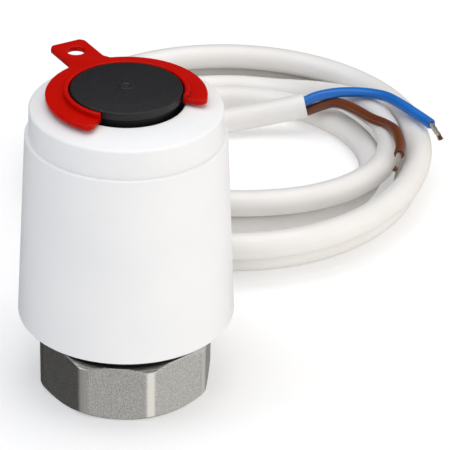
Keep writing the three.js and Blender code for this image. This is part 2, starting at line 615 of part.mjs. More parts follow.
function buildWaxElement(interior) {
    contactPlate('contact_plate_lower', LOWER_CONTACT, -1, interior);
    contactPlate('contact_plate_upper', UPPER_CONTACT, 1, interior);
    const heaterTop = HEATER_BOTTOM + HEATER_THICKNESS;
    add('heater_disc', barrel(HEATER_RADIUS, 0, HEATER_BOTTOM, heaterTop, 20), heaterCeramic, interior);
    const bore = PISTON_RADIUS + RUNNING;
    const shoulder = ELEMENT_BOTTOM + ELEMENT_HEIGHT;
    const boreFloor = ELEMENT_BOTTOM + ELEMENT_FLOOR;
    add('wax_element', turned([
        [0, ELEMENT_BOTTOM], [ELEMENT_RADIUS, ELEMENT_BOTTOM], [ELEMENT_RADIUS, shoulder],
        [ELEMENT_NECK_RADIUS, shoulder], [ELEMENT_NECK_RADIUS, ELEMENT_TOP], [bore, ELEMENT_TOP],
        [bore, boreFloor], [0, boreFloor],
    ], 20), brass, interior);
    const pistonBottom = boreFloor + LIFT_STROKE + CLEARANCE;
    const pistonTop = YOKE_TOP_UNDERSIDE - CLEARANCE;
    add('wax_piston', barrel(PISTON_RADIUS, 0, pistonBottom, pistonTop, 16), springSteel, interior);
}

// ---------------------------------------------------------------- housing

function buildCover(exitTool) {
    const edge = COVER_EDGE;
    const innerBottom = COVER_BOTTOM_RADIUS - COVER_WALL;
    const innerTop = COVER_TOP_RADIUS - COVER_WALL;
    const shell = turnedRing([
        [innerBottom, COVER_BOTTOM], [COVER_BOTTOM_RADIUS - edge, COVER_BOTTOM],
        [COVER_BOTTOM_RADIUS, COVER_BOTTOM + edge], [coverRadius(COVER_TOP - edge), COVER_TOP - edge],
        [COVER_TOP_RADIUS - edge, COVER_TOP], [innerTop, COVER_TOP],
    ], 56);
    add('outer_cover', cut(shell, exitTool), whitePlastic);
}

function buildCap() {
    const wallBottom = COVER_TOP + CLEARANCE;
    const spigotOuter = COVER_TOP_RADIUS - COVER_WALL - CLEARANCE;
    const spigotInner = spigotOuter - CAP_WALL;
    const spigotBottom = COVER_TOP - CAP_SPIGOT_DEPTH;
    const hubOuter = CAP_HOLE_RADIUS + HUB_WIDTH;
    const profile = [
        [spigotInner, spigotBottom], [spigotOuter, spigotBottom], [spigotOuter, wallBottom],
        [CAP_RADIUS, wallBottom],
    ];
    const arcSteps = 4;
    for (let i = 0; i <= arcSteps; i += 1) {
        const angle = radians(CAP_EDGE_ARC) * (i / arcSteps);
        profile.push([
            CAP_RADIUS - CAP_EDGE_RADIUS * (1 - Math.cos(angle)),
            CAP_RIM - CAP_EDGE_RADIUS + CAP_EDGE_RADIUS * Math.sin(angle),
        ]);
    }
    profile.push(
        [CAP_HOLE_RADIUS + CAP_HOLE_CHAMFER, CAP_HOLE_EDGE],
        [CAP_HOLE_RADIUS, CAP_HOLE_EDGE - CAP_HOLE_CHAMFER],
        [CAP_HOLE_RADIUS, HUB_BOTTOM], [hubOuter, HUB_BOTTOM],
        [hubOuter, CAP_HOLE_EDGE - CAP_ROOF_AT_HUB], [spigotInner, CAP_RIM - CAP_ROOF],
    );
    add('top_cap', turnedRing(profile, 44), whitePlastic);
}

// ---------------------------------------------------------------- lock clip

function clipOutline(inner, outer) {
    const outline = new THREE.Shape();
    outline.absarc(0, 0, outer, radians(CLIP_MOUTH_TO), radians(CLIP_MOUTH_FROM + 360), false);
    outline.absarc(0, 0, inner, radians(CLIP_MOUTH_FROM + 360), radians(CLIP_MOUTH_TO), true);
    return outline;
}

function clipTab() {
    const half = CLIP_TAB_WIDTH / 2;
    const rootHalf = CLIP_TAB_ROOT_WIDTH / 2;
    const root = (CLIP_COLLAR_OUTER + CLIP_OUTER_RADIUS) / 2;
    const neck = CLIP_OUTER_RADIUS + CLIP_TAB_NECK_OUT;
    const corner = CLIP_TAB_CORNER;
    const tab = new THREE.Shape(points2([
        [root, -rootHalf], [neck, -half], [CLIP_TAB_END - corner, -half],
        [CLIP_TAB_END, -half + corner], [CLIP_TAB_END, half - corner], [CLIP_TAB_END - corner, half],
        [neck, half], [root, rootHalf],
    ]));
    const hole = new THREE.Path();
    hole.absarc(CLIP_TAB_END - CLIP_TAB_HOLE_FROM_END, 0, CLIP_TAB_HOLE_RADIUS, 0, Math.PI * 2, true);
    tab.holes.push(hole);
    const geometry = plate(tab, CLIP_BOTTOM, CLIP_BOTTOM + CLIP_PLATE, 12);
    return geometry.rotateZ(radians(CLIP_TAB_AZIMUTH));
}

function buildClip() {
    const flangeTop = CLIP_BOTTOM + CLIP_PLATE;
    const collarTop = CLIP_BOTTOM + CLIP_COLLAR_HEIGHT;
    const flange = plate(clipOutline(CLIP_INNER_RADIUS, CLIP_OUTER_RADIUS), CLIP_BOTTOM, flangeTop, 26);
    const collar = plate(clipOutline(CLIP_INNER_RADIUS, CLIP_COLLAR_OUTER), CLIP_BOTTOM, collarTop, 26);
    add('lock_clip', joined(flange, collar, clipTab()), redPlastic);
}

// ---------------------------------------------------------------- cable entry

// Turned pieces of the entry lie along +Y of the interior group, at the exit's height.
function alongExit(geometry) {
    return geometry.rotateX(-Math.PI / 2).translate(0, 0, EXIT_HEIGHT);
}

function buildCableEntry(interior) {
    const tip = BUSH_START + BUSH_LENGTH;
    const collarEnd = BUSH_START + BUSH_COLLAR;
    const profile = [
        [BUSH_BORE_RADIUS, BUSH_FLANGE_INNER], [BUSH_FLANGE_RADIUS, BUSH_FLANGE_INNER],
        [BUSH_FLANGE_RADIUS, BUSH_FLANGE_OUTER], [BUSH_NECK_RADIUS, BUSH_FLANGE_OUTER],
        [BUSH_NECK_RADIUS, BUSH_START], [BUSH_ROOT_RADIUS, BUSH_START],
        [BUSH_ROOT_RADIUS, collarEnd],
    ];
    const edge = BUSH_TIP_EDGE;
    const pitch = (tip - collarEnd) / (BUSH_GROOVES + 1);
    for (let i = 1; i <= BUSH_GROOVES; i += 1) {
        const from = collarEnd + pitch * i - BUSH_GROOVE_WIDTH / 2;
        const to = from + BUSH_GROOVE_WIDTH;
        const outside = THREE.MathUtils.lerp(BUSH_ROOT_RADIUS, BUSH_TIP_RADIUS, i / (BUSH_GROOVES + 1));
        const floor = outside - BUSH_GROOVE_DEPTH;
        profile.push([outside, from], [floor, from], [floor, to], [outside, to]);
    }
    profile.push([BUSH_TIP_RADIUS, tip - edge], [BUSH_TIP_RADIUS - edge, tip], [BUSH_BORE_RADIUS, tip]);
    add('cable_entry', alongExit(turnedRing(profile, 18)), whitePvc, interior);
}

function screwHoles(bottom, top) {
    return [-1, 1].map((side) => {
        const hole = barrel(CLAMP_SCREW_RADIUS + CLEARANCE, 0, bottom, top, 16);
        return hole.translate(side * CLAMP_SCREW_OFFSET, CLAMP_FROM + CLAMP_DEPTH / 2, 0);
    });
}

function buildClamp(interior) {
    const to = CLAMP_TO;
    const half = CLAMP_HALF_WIDTH;
    const split = EXIT_HEIGHT;
    const groove = alongExit(barrel(BUSH_BORE_RADIUS, 0, CLAMP_FROM - PAST, to + PAST, 28));
    const low = BASE_FLOOR_TOP + CLEARANCE;
    const footHalf = CLAMP_FOOT_HALF_WIDTH;
    const saddle = joined(
        block([-footHalf, CLAMP_FROM, low], [footHalf, to, BASE_RIM_TOP + CLAMP_FOOT_ABOVE_RIM]),
        block([-half, CLAMP_FROM, BASE_RIM_TOP + CLEARANCE], [half, to, split - CLEARANCE]),
    );
    const strap = block([-half, CLAMP_FROM, split + CLEARANCE], [half, to, CLAMP_TOP]);
    const screwEnd = split - CLAMP_SCREW_LENGTH;
    const holes = screwHoles(screwEnd - REST_GAP, CLAMP_TOP + PAST);
    add('cable_saddle', cut(saddle, groove, ...holes), naturalPlastic, interior);
    add('cable_strap', cut(strap, groove, ...holes), naturalPlastic, interior);
    const seat = CLAMP_TOP + CLEARANCE;
    const headTop = seat + CLAMP_SCREW_HEAD;
    const headRadius = CLAMP_SCREW_RADIUS * 2;
    for (const [name, side] of [['clamp_screw_left', -1], ['clamp_screw_right', 1]]) {
        const screw = turned([
            [0, screwEnd], [CLAMP_SCREW_RADIUS, screwEnd], [CLAMP_SCREW_RADIUS, seat],
            [headRadius, seat], [headRadius, headTop], [0, headTop],
        ], 14);
        const mesh = add(name, screw, springSteel, interior);
        mesh.position.set(side * CLAMP_SCREW_OFFSET, CLAMP_FROM + CLAMP_DEPTH / 2, 0);
    }
}

function buildInnerWire(colour, side, contactLevel, material, interior) {
    const height = contactLevel + CONTACT_THICKNESS + CLEARANCE + CRIMP_RADIUS;
    const from = CONTACT_TAB_REACH - CRIMP_LENGTH;
    const sleeve = barrel(CRIMP_RADIUS, 0, from, CONTACT_TAB_REACH, 16).rotateX(-Math.PI / 2);
    const crimp = add(`crimp_${colour}`, sleeve, tinnedCopper, interior);
    crimp.position.set(side * CONTACT_TAB_OFFSET, 0, height);
    const sheathSide = [side * CORE_OFFSET, WIRE_START, EXIT_HEIGHT];
    const crimpSide = [side * CONTACT_TAB_OFFSET, CONTACT_TAB_REACH + CLEARANCE, height];
    const route = [
        sheathSide, [sheathSide[0], sheathSide[1] - WIRE_STRAIGHT, sheathSide[2]],
        [crimpSide[0], crimpSide[1] + WIRE_STRAIGHT, crimpSide[2]], crimpSide,
    ];
    const wire = tube(route, INNER_CORE_DIAMETER, 5);
    add(`inner_core_${colour}`, wire, material, interior);
}

// ---------------------------------------------------------------- free cable

function buildFreeCable() {
    add('cable_lead', tube(LEAD_POINTS, CABLE_DIAMETER, 18, 12), whitePvc);
    const edge = COIL_EDGE;
    const outer = COIL_OUTER_RADIUS;
    const bottom = COIL_LIFT;
    const coil = add('cable_coil', turnedRing([
        [COIL_INNER_RADIUS, bottom], [outer - edge, bottom], [outer, bottom + edge],
        [outer, COIL_HEIGHT - edge], [outer - edge, COIL_HEIGHT],
        [COIL_STEP_RADIUS, COIL_HEIGHT], [COIL_STEP_RADIUS, COIL_INNER_HEIGHT],
        [COIL_LOW_RADIUS, COIL_INNER_HEIGHT], [COIL_INNER_RADIUS, bottom + 1],
    ], 40), whitePvc);
    coil.position.set(...COIL_CENTRE, 0);
    add('cable_tail', tube(TAIL_POINTS, CABLE_DIAMETER, 9, 12), whitePvc);
    add('core_blue', tube(BLUE_POINTS, CORE_DIAMETER, 12), bluePvc);
    add('core_brown', tube(BROWN_POINTS, CORE_DIAMETER, 14), brownPvc);
    add('strands_blue', tube(BLUE_STRAND_POINTS, STRAND_DIAMETER, 2), tinnedCopper);
    add('strands_brown', tube(BROWN_STRAND_POINTS, STRAND_DIAMETER, 2), tinnedCopper);
}

// ---------------------------------------------------------------- assembly

// The interior group turns with the cable exit, which lies along its +Y.
const interior = new THREE.Group();
interior.rotation.z = radians(EXIT_AZIMUTH - 90);
actuator.add(interior);

const exitHole = alongExit(barrel(BUSH_NECK_RADIUS + CLEARANCE, 0, CLAMP_FROM, BUSH_START + PAST, 28));
exitHole.rotateZ(radians(EXIT_AZIMUTH - 90));

buildCover(exitHole);
buildCap();
buildBase();
buildStemBushAndSeal();
buildNut();
buildRetainingRing();
buildPressureFoot();
buildYoke(interior);
buildClosingSpring();
buildIndicator();
buildCarrier(interior);
buildWaxElement(interior);
buildClip();
buildCableEntry(interior);
buildClamp(interior);
buildInnerWire('blue', -1, LOWER_CONTACT, bluePvc, interior);
buildInnerWire('brown', 1, UPPER_CONTACT, brownPvc, interior);
buildFreeCable();

export default actuator;
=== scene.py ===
# %% [markdown]
# # A thermal actuator head and its coiled lead
# This object screws onto a heating valve. A wax element warms up inside a white housing and lifts a
# black indicator, a red clip holds it open until the head is fitted, and a two-core lead powers it.
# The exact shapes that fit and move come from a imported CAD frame. Blender gives each piece that is
# seen a finer skin and its real finish, in the same place and size. One loaded frame could be edited
# directly, but new pieces that stand for its nodes keep the measured model untouched.

# %% Load the frame
import math

import bmesh
import bpy
from mathutils import Matrix, Vector


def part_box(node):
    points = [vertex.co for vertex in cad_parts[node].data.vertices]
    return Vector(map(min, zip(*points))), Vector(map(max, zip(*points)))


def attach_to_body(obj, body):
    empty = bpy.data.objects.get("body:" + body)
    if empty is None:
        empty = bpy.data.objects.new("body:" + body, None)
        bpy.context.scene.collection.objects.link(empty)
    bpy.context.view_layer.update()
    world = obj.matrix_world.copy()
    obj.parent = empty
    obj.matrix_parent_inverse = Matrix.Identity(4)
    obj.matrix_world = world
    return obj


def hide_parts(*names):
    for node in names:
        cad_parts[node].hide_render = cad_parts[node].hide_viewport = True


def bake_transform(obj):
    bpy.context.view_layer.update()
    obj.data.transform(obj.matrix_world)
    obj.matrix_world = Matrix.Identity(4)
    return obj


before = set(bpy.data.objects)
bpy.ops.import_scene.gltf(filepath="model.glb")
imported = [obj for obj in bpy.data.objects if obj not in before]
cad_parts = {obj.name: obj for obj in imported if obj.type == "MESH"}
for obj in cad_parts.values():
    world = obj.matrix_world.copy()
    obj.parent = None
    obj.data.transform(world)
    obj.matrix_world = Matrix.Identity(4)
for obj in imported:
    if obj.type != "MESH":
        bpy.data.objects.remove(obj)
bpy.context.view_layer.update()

MM = 0.001

# %% [markdown]
# ## Sizes taken from the frame
# Every later cell works from a few real sizes. They could be typed in again, but reading them from
# the frame's own boxes keeps the skin on the frame. All of them are in millimetres.

# %% Read the sizes


def span(node):
    """The lowest and highest corner of a CAD node, in millimetres."""
    low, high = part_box(node)
    return low / MM, high / MM


cover_low, cover_high = span("outer_cover")
cap_low, cap_high = span("top_cap")
nut_low, nut_high = span("union_nut")
base_low, base_high = span("base_body")
disc_low, disc_high = span("indicator_disc")
stem_low, stem_high = span("indicator_stem")
foot_low, foot_high = span("pressure_foot")
clip_low, clip_high = span("lock_clip")
spring_low, spring_high = span("closing_spring")

CLEARANCE = 0.3
COVER_RADIUS = cover_high.x
COVER_TAPER = 1.89
COVER_WALL = 1.6
COVER_TOP_RADIUS = COVER_RADIUS - COVER_TAPER
CAP_RADIUS = cap_high.x
DISC_RADIUS = disc_high.x
print(f"cover {2 * COVER_RADIUS:.1f} wide, disc {2 * DISC_RADIUS:.1f} wide")
print(f"head {disc_high.z - nut_low.z:.1f} tall")

# %% [markdown]
# ## The camera
# A long lens from far away keeps the housing's sides almost parallel, so the shape reads true. A
# short lens nearby would show the same things but would swell the nearest side. The camera is placed
# by an azimuth, an elevation and a distance from the point that it looks at, then rolled a little.

# %% Place the camera
CAMERA_AZIMUTH = math.radians(13.5)
CAMERA_ELEVATION = math.radians(30.23)
CAMERA_ROLL = math.radians(1.35)
CAMERA_DISTANCE = 488.9 * MM
CAMERA_TARGET = Vector((18.08, 4.34, 34.06)) * MM
LENS_MM = 207.7
SENSOR_MM = 36


def linked(name, data):
    """A new object in the scene."""
    thing = bpy.data.objects.new(name, data)
    bpy.context.scene.collection.objects.link(thing)
    return thing


def camera_axes(azimuth, elevation, roll):
    """Right, up and back of a camera that looks at the object from there."""
    flat = math.cos(elevation)
    back = Vector((math.sin(azimuth) * flat, -math.cos(azimuth) * flat, math.sin(elevation)))
    right = Vector((math.cos(azimuth), math.sin(azimuth), 0))
    up = back.cross(right)
    rolled_right = right * math.cos(roll) + up * math.sin(roll)
    rolled_up = up * math.cos(roll) - right * math.sin(roll)
    return rolled_right, rolled_up, back


right, up, back = camera_axes(CAMERA_AZIMUTH, CAMERA_ELEVATION, CAMERA_ROLL)
camera = linked("camera", bpy.data.cameras.new("camera"))
camera.data.lens = LENS_MM
camera.data.sensor_width = SENSOR_MM
camera.matrix_world = Matrix((right, up, back)).transposed().to_4x4()
camera.location = CAMERA_TARGET + back * CAMERA_DISTANCE
bpy.context.scene.camera = camera
print("camera at", [round(value / MM) for value in camera.location], "mm")

# %% [markdown]
# ## Small helpers
# Three things are needed again and again. Colours are picked as sRGB hex values, which Blender's
# sockets take as linear light. A node is added with its settings and its links in one go. A mesh that
# was turned or swept is merged, its faces are made to point outwards, and only its real edges stay
# sharp. Each could be done by hand in the editor, but a function does it the same way each time.

# %% Colour, node and mesh helpers
MERGE_DISTANCE = 0.001 * MM
SHARP_DEGREES = 32


def linear(colour):
    """An sRGB hex colour as linear light."""
    channels = [int(colour[start:start + 2], 16) / 255 for start in (1, 3, 5)]
    return tuple(c / 12.92 if c <= 0.04045 else ((c + 0.055) / 1.055) ** 2.4 for c in channels) + (1.0,)


def add_node(tree, kind, inputs=None, **settings):
    """Adds a node. Its inputs take a value, or another node's output to link."""
    node = tree.nodes.new(kind)
    for name, value in settings.items():
        setattr(node, name, value)
    for name, value in (inputs or {}).items():
        if isinstance(value, bpy.types.NodeSocket):
            tree.links.new(value, node.inputs[name])
        else:
            node.inputs[name].default_value = value
    return node


def clean(mesh, sharp_degrees=SHARP_DEGREES):
    """Merges doubles, turns the faces outwards and keeps only edges past the angle sharp."""
    work = bmesh.new()
    work.from_mesh(mesh)
    bmesh.ops.remove_doubles(work, verts=work.verts, dist=MERGE_DISTANCE)
    bmesh.ops.recalc_face_normals(work, faces=work.faces)
    work.to_mesh(mesh)
    work.free()
    mesh.shade_smooth()
    mesh.set_sharp_from_angle(angle=math.radians(sharp_degrees))
    return mesh


def settle(name, mesh, body, slot, *nodes):
    """Makes the mesh a piece that rides on a body and stands for its CAD nodes."""
    piece = linked(name, mesh)
    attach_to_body(piece, body)
    if nodes:
        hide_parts(*nodes)
    print(f"{name}: {len(mesh.polygons)} faces")
    return piece


print("white in linear light:", [round(value, 2) for value in linear("#F1F2F3")[:3]])

# %% [markdown]
# ## Moulded plastics
# A moulded part is one colour, yet it never looks flat: the tool's spark-eroded grain breaks the
# highlight, the gloss drifts over the part, and the colour shifts a little where the wall is thicker.
# A scanned surface could be wrapped round each part. Noise in the piece's own coordinates does it
# without one, and its scale is a distance in millimetres. The grain is drawn coarse enough to show.
# The black and red plastics have a lowered specular level: at full strength the pale studio greys
# their flat tops.

# %% Moulded plastic
DRIFT_MM = 14
GLOSS_PATCH_MM = 2.5
GLOSS_SWING = 0.14
SHADE_AT = 0.3
COLOUR_AT = 0.7


def two_tone(tree, share, first, last):
    """A colour ramp between two stops, each a position and an sRGB hex colour."""
    ramp = add_node(tree, "ShaderNodeValToRGB", {"Fac": share})
    for stop, (position, colour) in zip(ramp.color_ramp.elements, (first, last)):
        stop.position = position
        stop.color = linear(colour)
    return ramp.outputs["Color"]


def moulded(name, colour, shade, roughness, grain_mm, grain_depth_mm, **finish):
    """A moulded plastic with drifting colour and gloss, and the grain of its tool."""
    material = bpy.data.materials.new(name)
    material.use_nodes = True
    tree = material.node_tree
    tree.nodes.clear()
    place = add_node(tree, "ShaderNodeTexCoord").outputs["Object"]
    drift = add_node(tree, "ShaderNodeTexNoise", {
        "Vector": place, "Scale": 1 / (DRIFT_MM * MM), "Detail": 3.0})
    colours = two_tone(tree, drift.outputs["Fac"], (SHADE_AT, shade), (COLOUR_AT, colour))
    patches = add_node(tree, "ShaderNodeTexNoise", {"Vector": place, "Scale": 1 / (GLOSS_PATCH_MM * MM)})
    gloss = add_node(tree, "ShaderNodeMapRange", {
        "Value": patches.outputs["Fac"], "To Min": roughness * (1 - GLOSS_SWING),
        "To Max": roughness * (1 + GLOSS_SWING)})
    grain = add_node(tree, "ShaderNodeTexNoise", {
        "Vector": place, "Scale": 1 / (grain_mm * MM), "Detail": 2.0, "Roughness": 0.6})
    bump = add_node(tree, "ShaderNodeBump", {
        "Height": grain.outputs["Fac"], "Strength": 1.0, "Distance": grain_depth_mm * MM})
    shader = add_node(tree, "ShaderNodeBsdfPrincipled", {
        "Base Color": colours, "Roughness": gloss.outputs["Result"],
        "Normal": bump.outputs["Normal"], **finish})
    add_node(tree, "ShaderNodeOutputMaterial", {"Surface": shader.outputs["BSDF"]})
    return material


# Housing: satin ABS, a cool white with a soft, wide highlight.
satin_abs = moulded("satin moulded white ABS", "#F1F1F1", "#ECEDEE", 0.42, 0.55, 0.006, IOR=1.54)
# Neck and shoulder: glass-filled polyamide, a dull black with a dry grain.
glass_filled_pa = moulded("glass-filled black polyamide", "#101011", "#0B0B0C", 0.55, 0.4, 0.02, IOR=1.53,
                          **{"Specular IOR Level": 0.25})
# Indicator: acetal off a finely eroded tool, a warm black that greys where light grazes it.
eroded_pom = moulded("spark-eroded black acetal", "#1F1F21", "#17171A", 0.42, 0.34, 0.1, IOR=1.48,
                     **{"Specular IOR Level": 0.35})
# Clip: polypropylene, a saturated red that looks wet along its edges.
glossy_pp = moulded("glossy red polypropylene", "#C40C01", "#B40A01", 0.26, 1.6, 0.008, IOR=1.49,
                    **{"Specular IOR Level": 0.1})
# Inner mouldings: natural polyamide, milky and slightly yellow.
natural_pa = moulded("natural moulded polyamide", "#DAD3C0", "#CFC7B2", 0.45, 0.6, 0.01, IOR=1.53)
# Seals: pressed rubber, nearly no highlight.
pressed_epdm = moulded("pressed black EPDM rubber", "#17181A", "#101112", 0.8, 0.5, 0.02, IOR=1.52)
# Heater: a pressed and sintered ceramic tablet, grey and dead matt.
sintered_ptc = moulded("sintered PTC ceramic", "#5A5C60", "#47494D", 0.85, 0.3, 0.02, IOR=1.6)
# Lead: plasticised PVC, a warm white with a soft sheen and long, slow unevenness from the extruder.
extruded_pvc = moulded("extruded white PVC sheath", "#EBE9E6", "#E6E3DF", 0.4, 2.2, 0.012, IOR=1.53)
# Bush: the same PVC, but moulded, so it is duller than the lead it holds.
moulded_pvc = moulded("moulded white PVC bush", "#EEECE6", "#E5E2DA", 0.5, 0.6, 0.012, IOR=1.53)
# Cores: harder, glossier PVC insulation.
blue_pvc = moulded("extruded blue PVC insulation", "#0C70CC", "#0A64B8", 0.3, 1.4, 0.008, IOR=1.53)
brown_pvc = moulded("extruded brown PVC insulation", "#713813", "#602D0E", 0.3, 1.4, 0.008, IOR=1.53)
print("plastics:", len(bpy.data.materials))

# %% [markdown]
# ## Metals
# A metal has no colour under its gloss, so what tells plated brass from spring steel is the tint of
# the reflection and how rough it is. Plating over a forged and turned nut keeps a fine, sugary grain
# on the flats and rings left by the lathe on the ends. Scratched or brushed metal could be painted as
# a picture, but noise and a sine of the distance from the axis give both, and the mesh itself says in
# an attribute where the tool cut.

# %% Worked metal
TOOL_MARK_MM = 0.45
TOOL_MARK_DEPTH_MM = 0.004
CUT_GLOSS = 0.8
TINT_AT = 0.36
METAL_AT = 0.64
WEAR_SWING = 0.25
GRAINS_PER_MOTTLE = 6


def worked(name, colour, tint, roughness, grain_mm, grain_depth_mm, cut_colour=None):
    """A metal with a grainy surface. With a cut colour, it is smooth and bright where a tool cut it."""
    material = bpy.data.materials.new(name)
    material.use_nodes = True
    tree = material.node_tree
    tree.nodes.clear()
    place = add_node(tree, "ShaderNodeTexCoord")
    grain = add_node(tree, "ShaderNodeTexNoise", {
        "Vector": place.outputs["Object"], "Scale": 1 / (grain_mm * MM), "Detail": 3.0, "Roughness": 0.7})
    mottle = add_node(tree, "ShaderNodeTexNoise", {
        "Vector": place.outputs["Object"], "Scale": 1 / (GRAINS_PER_MOTTLE * grain_mm * MM), "Detail": 4.0})
    base = two_tone(tree, grain.outputs["Fac"], (TINT_AT, tint), (METAL_AT, colour))
    gloss = add_node(tree, "ShaderNodeMapRange", {
        "Value": mottle.outputs["Fac"], "To Min": roughness * (1 - WEAR_SWING),
        "To Max": roughness * (1 + WEAR_SWING)})
    bump = add_node(tree, "ShaderNodeBump", {
        "Height": grain.outputs["Fac"], "Strength": 1.0, "Distance": grain_depth_mm * MM})
    normal = bump.outputs["Normal"]
    if cut_colour:
        cut = add_node(tree, "ShaderNodeAttribute", attribute_name="cut").outputs["Fac"]
        flat = add_node(tree, "ShaderNodeVectorMath", {0: place.outputs["Object"], 1: (1, 1, 0)},
                        operation="MULTIPLY")
        distance = add_node(tree, "ShaderNodeVectorMath", {0: flat.outputs["Vector"]}, operation="LENGTH")
        turns = add_node(tree, "ShaderNodeMath", {
            0: distance.outputs["Value"], 1: math.tau / (TOOL_MARK_MM * MM)}, operation="MULTIPLY")
        wave = add_node(tree, "ShaderNodeMath", {0: turns.outputs["Value"]}, operation="SINE")
        rings = add_node(tree, "ShaderNodeBump", {
            "Height": wave.outputs["Value"], "Strength": 1.0, "Distance": TOOL_MARK_DEPTH_MM * MM})
        base = add_node(tree, "ShaderNodeMix", {
            0: cut, 6: base, 7: linear(cut_colour)}, data_type="RGBA").outputs[2]
        normal = add_node(tree, "ShaderNodeMix", {0: cut, 4: normal, 5: rings.outputs["Normal"]},
                          data_type="VECTOR").outputs[1]
        gloss = add_node(tree, "ShaderNodeMapRange", {
            "Value": cut, "To Min": gloss.outputs["Result"], "To Max": roughness * CUT_GLOSS})
    shader = add_node(tree, "ShaderNodeBsdfPrincipled", {
        "Base Color": base, "Metallic": 1.0,
        "Roughness": gloss.outputs["Result"], "Normal": normal})
    add_node(tree, "ShaderNodeOutputMaterial", {"Surface": shader.outputs["BSDF"]})
    return material


# Union nut: nickel over forged brass, a warm grey with sparkling grain on the flats.
nickel_brass = worked("nickel-plated forged brass", "#D3D2CE", "#A09F9D", 0.4, 0.24, 0.1, "#E2E0D9")
# Spring, screws and rings: drawn steel, cooler and tighter.
spring_steel = worked("drawn spring steel", "#AEB3B8", "#959AA0", 0.28, 0.3, 0.006)
# Bush, wax element and contacts: turned or stamped brass.
turned_brass = worked("turned brass", "#D2AE62", "#BC9850", 0.3, 0.35, 0.008)
# Crimps: stamped and tinned, so nearly white and a little dull.
tinned_sleeve = worked("tinned copper sleeve", "#B9B6B0", "#A3A09A", 0.38, 0.3, 0.008)
print("all materials:", len(bpy.data.materials))

# %% [markdown]
# ## A tree that turns a profile
# The housing, cap, neck, disc, foot and cable bush are all bodies of revolution: half an outline,
# turned about an axis. The outline could be spun in the editor. Here a Geometry Nodes tree does it, so
# the rounding of each corner, the number of facets and the material are named inputs. Each point of
# the outline carries its own corner radius as an attribute, and the tree sweeps the rounded outline
# round a small circle that the outline is measured from.

# %% The turning tree
RING_MM = 1.0


def new_tree(name, **inputs):
    """A Geometry Nodes tree with named inputs and one output."""
    tree = bpy.data.node_groups.new(name, "GeometryNodeTree")
    for label, kind in inputs.items():
        tree.interface.new_socket(
            label.replace("_", " "), in_out="INPUT", socket_type="NodeSocket" + kind)
    tree.interface.new_socket("Piece", in_out="OUTPUT", socket_type="NodeSocketGeometry")
    return tree, add_node(tree, "NodeGroupInput").outputs


def close_tree(tree, geometry, material):
    """Ends a tree: real geometry with its material on it."""
    real = add_node(tree, "GeometryNodeRealizeInstances", {"Geometry": geometry})
    painted = add_node(tree, "GeometryNodeSetMaterial", {
        "Geometry": real.outputs["Geometry"], "Material": material})
    add_node(tree, "NodeGroupOutput", {"Piece": painted.outputs["Geometry"]})
    return tree


def attach(holder, tree, **inputs):
    """Puts a tree on an object and sets its named inputs by their socket identifiers."""
    modifier = holder.modifiers.new("tree", "NODES")
    modifier.node_group = tree
    values = {label.replace("_", " "): value for label, value in inputs.items()}
    for item in tree.interface.items_tree:
        if item.in_out == "INPUT" and item.name in values:
            modifier[item.identifier] = values[item.name]


def baked(holder):
    """The plain mesh that an object's modifiers make. The object itself is removed."""
    graph = bpy.context.evaluated_depsgraph_get()
    mesh = bpy.data.meshes.new_from_object(holder.evaluated_get(graph))
    bpy.data.objects.remove(holder)
    return mesh


def grow(source, tree, **inputs):
    """Runs a tree on a source mesh and returns the plain mesh that it makes."""
    holder = linked("source", source)
    attach(holder, tree, **inputs)
    return baked(holder)


turning, given = new_tree(
    "turned outline", Outline="Geometry", Segments="Int", Corner_steps="Int", Material="Material")
outline = add_node(turning, "GeometryNodeMeshToCurve", {"Mesh": given["Outline"]})
corner = add_node(turning, "GeometryNodeInputNamedAttribute", {"Name": "corner"}, data_type="FLOAT")
rounded = add_node(turning, "GeometryNodeFilletCurve", {
    "Curve": outline.outputs["Curve"], "Count": given["Corner steps"],
    "Radius": corner.outputs["Attribute"], "Limit Radius": True}, mode="POLY")
circle = add_node(turning, "GeometryNodeCurvePrimitiveCircle", {
    "Resolution": given["Segments"], "Radius": RING_MM * MM})
swept = add_node(turning, "GeometryNodeCurveToMesh", {
    "Curve": circle.outputs["Curve"], "Profile Curve": rounded.outputs["Curve"]})
merged = add_node(turning, "GeometryNodeMergeByDistance", {
    "Geometry": swept.outputs["Mesh"], "Distance": MERGE_DISTANCE})
close_tree(turning, merged.outputs["Geometry"], given["Material"])


def turned(points, material, segments=180, corner_steps=5, closed=True):
    """A turned mesh about +Z from (radius, height, corner radius) points, in millimetres."""
    source = bpy.data.meshes.new("outline")
    places = [((p[0] - RING_MM) * MM, -p[1] * MM, 0) for p in points]
    edges = [(i, i + 1) for i in range(len(points) - 1)]
    if closed:
        edges.append((len(points) - 1, 0))
    source.from_pydata(places, edges, [])
    radii = source.attributes.new("corner", "FLOAT", "POINT")
    for item, point in zip(radii.data, points):
        item.value = (point[2] if len(point) > 2 else 0.0) * MM
    mesh = grow(source, turning, Segments=segments, Corner_steps=corner_steps, Material=material)
    return clean(mesh)


print("turning tree:", len(turning.nodes), "nodes")

# %% [markdown]
# ## A tree that sweeps a wire along a path
# The lead, its two cores and the short inner wires are round sections that follow a path. A curve
# with a bevel would do, but its ends would be flat caps. This tree sweeps a circle along the path and
# then sinks both end faces, so that a cut sheath shows its wall and the cores can leave the hollow.

